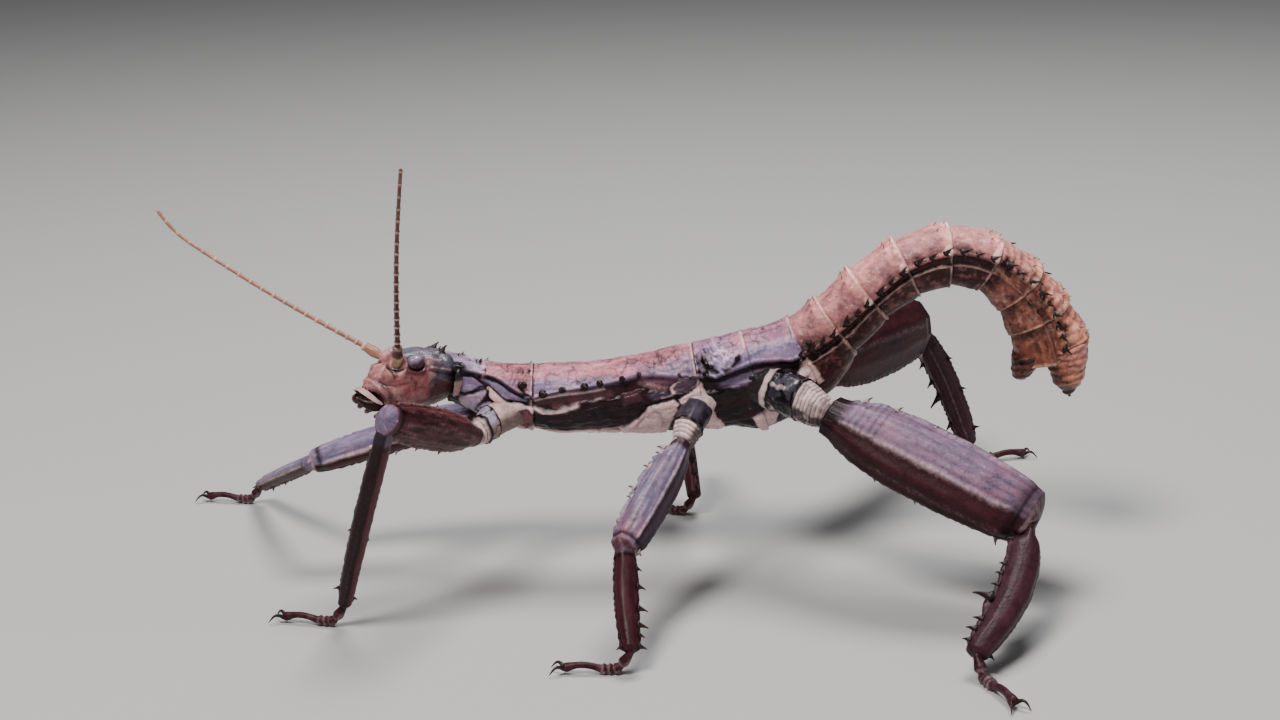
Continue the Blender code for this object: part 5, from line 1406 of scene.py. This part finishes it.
def footPiece(pair, side, seed):
    node = f"{pair}_{side}_tarsus"
    points, (tibia, _, _, _, shinRun) = cadPoints(node), skins[f"{pair}_{side}_tibia"]
    ankle = tibia[-5:].mean(axis=(0, 1))
    flat = (points - ankle) * (1, 1, 0)
    foot = unit(flat[np.argsort(np.linalg.norm(flat, axis=1))[-6:]].mean(axis=0))
    across, length = unit(np.cross((0, 0, 1.0), foot)), (flat @ foot).max() - 2.1
    share = np.linspace(0, 1, int(length * 1.1 / 0.13))
    path = ankle * (1, 1, 0) + foot * (share * length)[:, None]
    path[:, 2] = footDetails["sole"] + (ankle[2] - footDetails["sole"]) * np.clip(1 - share / 0.24, 0, 1) ** 1.5
    path[:, 2] += footDetails["arch"] * np.sin(math.pi * np.clip((share - 0.42) / 0.58, 0, 1)) ** 1.2
    path[0] -= shinRun * 0.3
    radii, pale, lobes, start = 0 * share, 0 * share, 0 * share, 0.0
    for end in footDetails["jointEnds"]:
        inside, part, lobed = (share >= start) & (share <= end), (share - start) / (end - start), end < 1
        if lobed:
            shape = footDetails["lobeRadius"] * (0.68 + 0.40 * ramp(part, 0.1, 0.85) - 0.25 * ramp(part, 0.88, 1.0))
            lobes = np.where(inside, ramp(part, 0.2, 0.8), lobes)
            pale = np.maximum(pale, hump((share - end) * length, 0.16))
        else:
            shape = footDetails["slimRadius"] + 0.12 * hump(part, 0.12) + (
                footDetails["tipRadius"] - footDetails["slimRadius"]) * ramp(part, 0.62, 0.95)
            lobes = np.where(inside, 0.0, lobes)
        radii = np.where(inside, shape, radii)
        start = end
    radii = radii * np.sqrt(np.clip((1 - share) * length / 0.5, 0.02, 1)) * (0.95 if pair != "hind" else 1.08)
    grid = tubeGrid(path, blurred(radii, 1.0, 0), 26, across)
    grid[..., 2] = np.maximum(grid[..., 2], 0.0)
    noise, paint = noiseOn(grid, seed), Paint(grid.shape[:2])
    under = ramp(path[:, None, 2] - grid[..., 2], 0.05, 0.3)
    paint.flank = 0.93 + 0.2 * noise(0.8, 0)
    paint.most("pale", pale[:, None] * 0.22, lobes[:, None] * under * 0.35)
    paint.tone += 0.25 * noise(0.5, 1) - 0.12
    skinPiece(pair + side.title() + "Foot", grid, paint, "legShell", "leg_shell", node)

    step = np.linspace(0, 1, 22)[:, None]
    for hand, name in ((1, "ClawOuter"), (-1, "ClawInner")):
        turn = math.radians(footDetails["clawSpread"]) * hand
        aim = foot * math.cos(turn) + across * math.sin(turn)
        bend = path[-1] - foot * 0.35 + across * hand * (0.28 - 0.55 * step ** 2)
        bend = bend + aim * footDetails["clawLength"] * step
        bend[:, 2:] += 0.75 * np.sin(math.pi * np.minimum(1, step * 1.05)) - 0.5 * step
        claw = tubeGrid(bend, footDetails["clawRadius"] * (1 - step[:, 0]) ** 0.8 + 0.035, 10, across)
        claw[..., 2] = np.maximum(claw[..., 2], 0.02)
        paint = Paint(claw.shape[:2])
        paint.turn(1.0, blush=ramp(step, 0.2, 0.7))
        skinPiece(pair + side.title() + name, claw, paint, "thornShell", "leg_shell")


for number, (pair, side) in enumerate(legNames):
    footPiece(pair, side, 110 + number * 3)
print("feet made")

# Thorns: one is modelled, and copies are set on the skins.
thornSettings = {"sides": 9, "rings": 6, "lean": 0.35, "narrowing": 0.76}


def modelThorn():  # a horn of height 1 that leans over as it narrows
    bpy.ops.object.select_all(action="DESELECT")
    bpy.ops.mesh.primitive_cone_add(vertices=thornSettings["sides"], radius1=0.42, radius2=0.26, depth=0.16,
                                    location=(0, 0, 0.0))
    thorn = bpy.context.object
    bpy.ops.object.mode_set(mode="EDIT")
    bpy.ops.mesh.select_mode(type="FACE")
    bpy.ops.mesh.select_all(action="DESELECT")
    bpy.ops.object.mode_set(mode="OBJECT")
    max(thorn.data.polygons, key=lambda face: face.center.z).select = True
    bpy.ops.object.mode_set(mode="EDIT")
    for step in range(thornSettings["rings"]):
        bpy.ops.mesh.extrude_region_move(TRANSFORM_OT_translate={
            "value": (thornSettings["lean"] * 0.03 * (step + 1), 0, 0.92 / thornSettings["rings"])})
        bpy.ops.transform.resize(value=(thornSettings["narrowing"],) * 3)
    bpy.ops.object.mode_set(mode="OBJECT")
    corners = np.array([tuple(vert.co) for vert in thorn.data.vertices])
    faces = np.array([tuple(face.vertices) for face in thorn.data.polygons], dtype=object)
    bpy.data.objects.remove(thorn)
    return corners, faces


thornCorners, thornFaces = modelThorn()


def thornsPiece(name, places, pale=0.0):  # places: root, aim, lean, length, width
    corners, faces = [], []
    for number, (root, aim, lean, length, width) in enumerate(places):
        aim = unit(aim)
        over = squareTo(lean, aim)
        corners.append(root + thornCorners * (width, width, length) @ np.array((over, np.cross(aim, over), aim)))
        faces += [[corner + number * len(thornCorners) for corner in face] for face in thornFaces]
    height = np.tile(np.clip(thornCorners[:, 2], 0, 1), len(places))
    paint = Paint(height.shape)
    paint.blush, paint.pale = height * 0.9, np.clip(1 - height * 1.2, 0, 1) * pale
    makePiece(name, np.concatenate(corners), faces, paint, "thornShell")


def nearestOn(grid, *pairs, inset=0.2):  # a root under the skin's point nearest to the wanted values, and its aim
    miss = sum(((value - wanted) / scale) ** 2 for value, wanted, scale in pairs)
    row, column = np.unravel_index(np.argmin(miss), miss.shape)
    row, columns = int(np.clip(row, 2, grid.shape[0] - 3)), grid.shape[1]
    along = grid[row + 2, column] - grid[row - 2, column]
    across = grid[row, (column + 2) % columns] - grid[row, (column - 2) % columns]
    outward = unit(np.cross(across, along))
    outward = outward if outward @ (grid[row, column] - grid[row].mean(axis=0)) > 0 else -outward
    return grid[row, column] - outward * inset, outward


# Spines of the legs: angle, share of the length, height in mm, and how pale the root is.
legSpines = {
    ("front", "left", "femur"): ((-70, 0.35, 0.6, 0.4), (-70, 0.6, 0.6, 0.4), (100, 0.5, 0.5, 0.3)),
    ("front", "left", "tibia"): ((150, 0.90, 0.9, 0), (-64, 0.96, 1.0, 0), (150, 0.55, 0.5, 0),
        (-64, 0.6, 0.5, 0)),
    ("front", "right", "femur"): ((108, 0.34, 0.8, 0.9), (108, 0.62, 0.6, 0.8), (180, 0.5, 0.6, 0)),
    ("front", "right", "tibia"): ((92, 0.90, 0.9, 0.2), (176, 0.5, 0.5, 0), (176, 0.75, 0.7, 0)),
    ("mid", "left", "femur"): ((100, 0.09, 1.0, 0.9), (98, 0.15, 0.8, 0.9), (98, 0.30, 0.9, 0.9),
        (98, 0.52, 0.9, 0.8), (98, 0.60, 0.7, 0.8), (-66, 0.95, 0.7, 0)),
    ("mid", "left", "tibia"): ((-48, 0.18, 0.7, 0), (-48, 0.36, 1.1, 0), (-48, 0.58, 1.3, 0),
        (-48, 0.74, 1.4, 0), (-48, 0.84, 0.8, 0), (-48, 0.95, 1.1, 0), (118, 0.95, 0.8, 0)),
    ("mid", "right", "femur"): ((98, 0.12, 0.9, 0.8), (98, 0.32, 0.8, 0.8), (98, 0.55, 0.8, 0.8)),
    ("mid", "right", "tibia"): ((-60, 0.30, 0.9, 0), (-60, 0.52, 1.2, 0), (-60, 0.72, 1.3, 0),
        (-60, 0.9, 0.9, 0)),
    ("hind", "left", "femur"): ((128, 0.10, 1.1, 0.7), (128, 0.24, 1.0, 0.7), (128, 0.42, 0.6, 0.6),
        (-60, 0.88, 1.1, 0), (-60, 0.94, 1.3, 0), (-60, 0.30, 0.5, 0.3), (-60, 0.5, 0.5, 0.2),
        (160, 0.12, 0.5, 0.6)),
    ("hind", "left", "tibia"): ((-108, 0.20, 0.6, 0), (-108, 0.38, 0.8, 0), (-108, 0.45, 0.9, 0),
        (-106, 0.63, 2.6, 0), (-108, 0.53, 1.0, 0), (-108, 0.78, 1.3, 0), (-108, 0.86, 1.3, 0),
        (-108, 0.94, 1.0, 0), (85, 0.96, 0.9, 0)),
    ("hind", "right", "femur"): ((96, 0.12, 1.0, 0.6), (96, 0.3, 0.9, 0.6), (-72, 0.9, 1.2, 0)),
    ("hind", "right", "tibia"): ((-130, 0.3, 0.9, 0), (-130, 0.45, 1.2, 0), (-130, 0.58, 2.4, 0),
        (-130, 0.8, 1.3, 0), (40, 0.35, 0.7, 0), (40, 0.6, 0.8, 0), (40, 0.9, 1.0, 0)),
}


def legThorns(pair, side, part):
    grid, place, degrees, length, run = skins[f"{pair}_{side}_{part}"]
    places = []
    for angle, share, tall, _ in legSpines[pair, side, part]:
        root, _ = nearestOn(grid, (place, share * length, 0.5), (turned(degrees, angle), 0, 20), inset=0)
        outward = unit(root - grid[np.argmin(np.abs(place[:, 0] - share * length))].mean(axis=0))
        places.append((root - outward * 0.15, outward + run * 0.15, run, tall, 0.95 + 0.65 * tall))
    thornsPiece(pair + side.title() + part.title() + "Spines", places,
                max(spine[3] for spine in legSpines[pair, side, part]))


# For each thorn its share of the plate's length and its size. For each spike how far it is before the rear
# edge, how far aside, its lean, its length and its width.
thornSizes = ((0.24, 1.35), (0.55, 1.0), (0.86, 1.15))
spikeSizes = ((1.8, 1.4, 0.5, 0.75, 0.75), (0.5, 0.7, 0.3, 0.6, 0.5))


def abdomenThorns(index):
    name, (_, back, _, up), first = plateNames[index], joints[index + 1], index == 3
    grid, front, across, high, rear, _ = skins[name]
    edges = (-0.3, -1.5) if first else abdomenEdges[index - 4:index - 2]
    places, spikes = [], []
    for sign in (1, -1):
        onSide = (np.sign(across), sign, 0.05)
        for share, size in ((0.97, 1.0),) if first else thornSizes:
            edge = edges[0] * (1 - share) + edges[1] * share
            root, outward = nearestOn(grid, (front, share * plateLengths[index], 1), (high, edge + 0.45, 1), onSide)
            places.append((root, outward * 0.6 + up * 0.7 + back * 0.6, back, size * 1.15, size * 1.35))
        for behind, aside, lean, tall, broad in () if first else spikeSizes:
            root, outward = nearestOn(grid, (rear, behind, 1), (np.abs(across), aside, 0.6), onSide, (high, 3.6, 2),
                                      inset=0.1)
            spikes.append((root, outward + back * lean, back, tall, broad))
    thornsPiece(name + "Thorns", places)
    if spikes:
        thornsPiece(name + "Spikes", spikes, 0.8)


def crownThorns():
    grid, local = skins["head"]
    places = []
    for sign in (1, -1):
        for along, out, tall, broad in ((1.9, 1.35, 1.3, 2.5), (1.4, 0.55, 0.8, 1.1), (2.6, 1.9, 0.5, 1.0)):
            root, outward = nearestOn(grid, (local[..., 0], along, 1), (local[..., 1], out * sign, 1),
                                      (local[..., 2], 4.6, 2))
            places.append((root, outward, -headRun, tall, broad))
    thornsPiece("crownThorns", places)


def thoraxKnobs(name):  # blunt black knobs along the thorax's edge
    grid, front, across, high, _, runs = skins[name]
    up, places = joints[plateNames.index(name)][3], []
    for sign in (1, -1):
        for place, height, tall, broad in knobPlaces[name]:
            root, outward = nearestOn(grid, (front, place, 1), (high, height, 1), (np.sign(across), sign, 0.05))
            places.append((root, outward + up * 0.3, runs[0], tall + 0.15, broad * 0.8))
    thornsPiece(name + "Knobs", places)


for index in range(3, 12):
    abdomenThorns(index)
crownThorns()
for key in legSpines:
    legThorns(*key)
for name in knobPlaces:
    thoraxKnobs(name)
print("thorns made")


# The setting.
def areaLight(name, place, aim, size, power, colour=(1, 1, 1)):
    data = bpy.data.lights.new(name, "AREA")
    data.shape, data.size, data.energy, data.color = "DISK", size, power, colour
    lamp = bpy.data.objects.new(name, data)
    turn = (Vector(place) - Vector(aim)).to_track_quat("Z", "Y").to_matrix().to_4x4()
    lamp.matrix_world = Matrix.Translation(Vector(place)) @ turn
    bpy.context.scene.collection.objects.link(lamp)


bpy.ops.object.select_all(action="DESELECT")
bpy.ops.mesh.primitive_plane_add(size=8.0, location=(0, 0, -0.0002))
floor = bpy.context.object
floor.name = "studioFloor"
floor.data.materials.append(newLook("studioFloorLook", BaseColor=(0.44, 0.435, 0.43, 1), Roughness=0.85)[0])

middle = (cadBox[0] + cadBox[1]) / 2
world = bpy.data.worlds.new("studioWorld")
bpy.context.scene.world = world
world.use_nodes = True
world.node_tree.nodes["Background"].inputs["Color"].default_value = (0.86, 0.90, 1.0, 1)
world.node_tree.nodes["Background"].inputs["Strength"].default_value = 0.09
areaLight("keyLight", (-0.20, -0.30, 0.60), middle, 0.22, 5.0, (1.0, 0.97, 0.93))
areaLight("topLight", (0.10, 0.20, 0.60), middle, 0.26, 3.7)
areaLight("fillLight", (0.45, -0.45, 0.20), middle, 0.30, 0.6)

# The camera looks at a place that is set from the front joint of the trunk.
cameraSettings = {"aim": (28.3, 0, 1.9), "distance": 330.0, "elevation": 16.0, "roll": -1.3, "lens": 60.0,
                  "sensor": 36.0, "clipStart": 0.01}
target = Vector(joints[0][0] + cameraSettings["aim"]) * mm
rise = math.radians(cameraSettings["elevation"])
back = Vector((0, -math.cos(rise), math.sin(rise)))
camera = bpy.data.objects.new("mainCamera", bpy.data.cameras.new("mainCamera"))
camera.data.lens, camera.data.sensor_width = cameraSettings["lens"], cameraSettings["sensor"]
camera.data.clip_start = cameraSettings["clipStart"]
camera.matrix_world = (Matrix.Translation(target + back * cameraSettings["distance"] * mm)
                       @ back.to_track_quat("Z", "Y").to_matrix().to_4x4()
                       @ Matrix.Rotation(math.radians(cameraSettings["roll"]), 4, "Z"))
bpy.context.scene.collection.objects.link(camera)
bpy.context.scene.camera = camera
print("setting made")
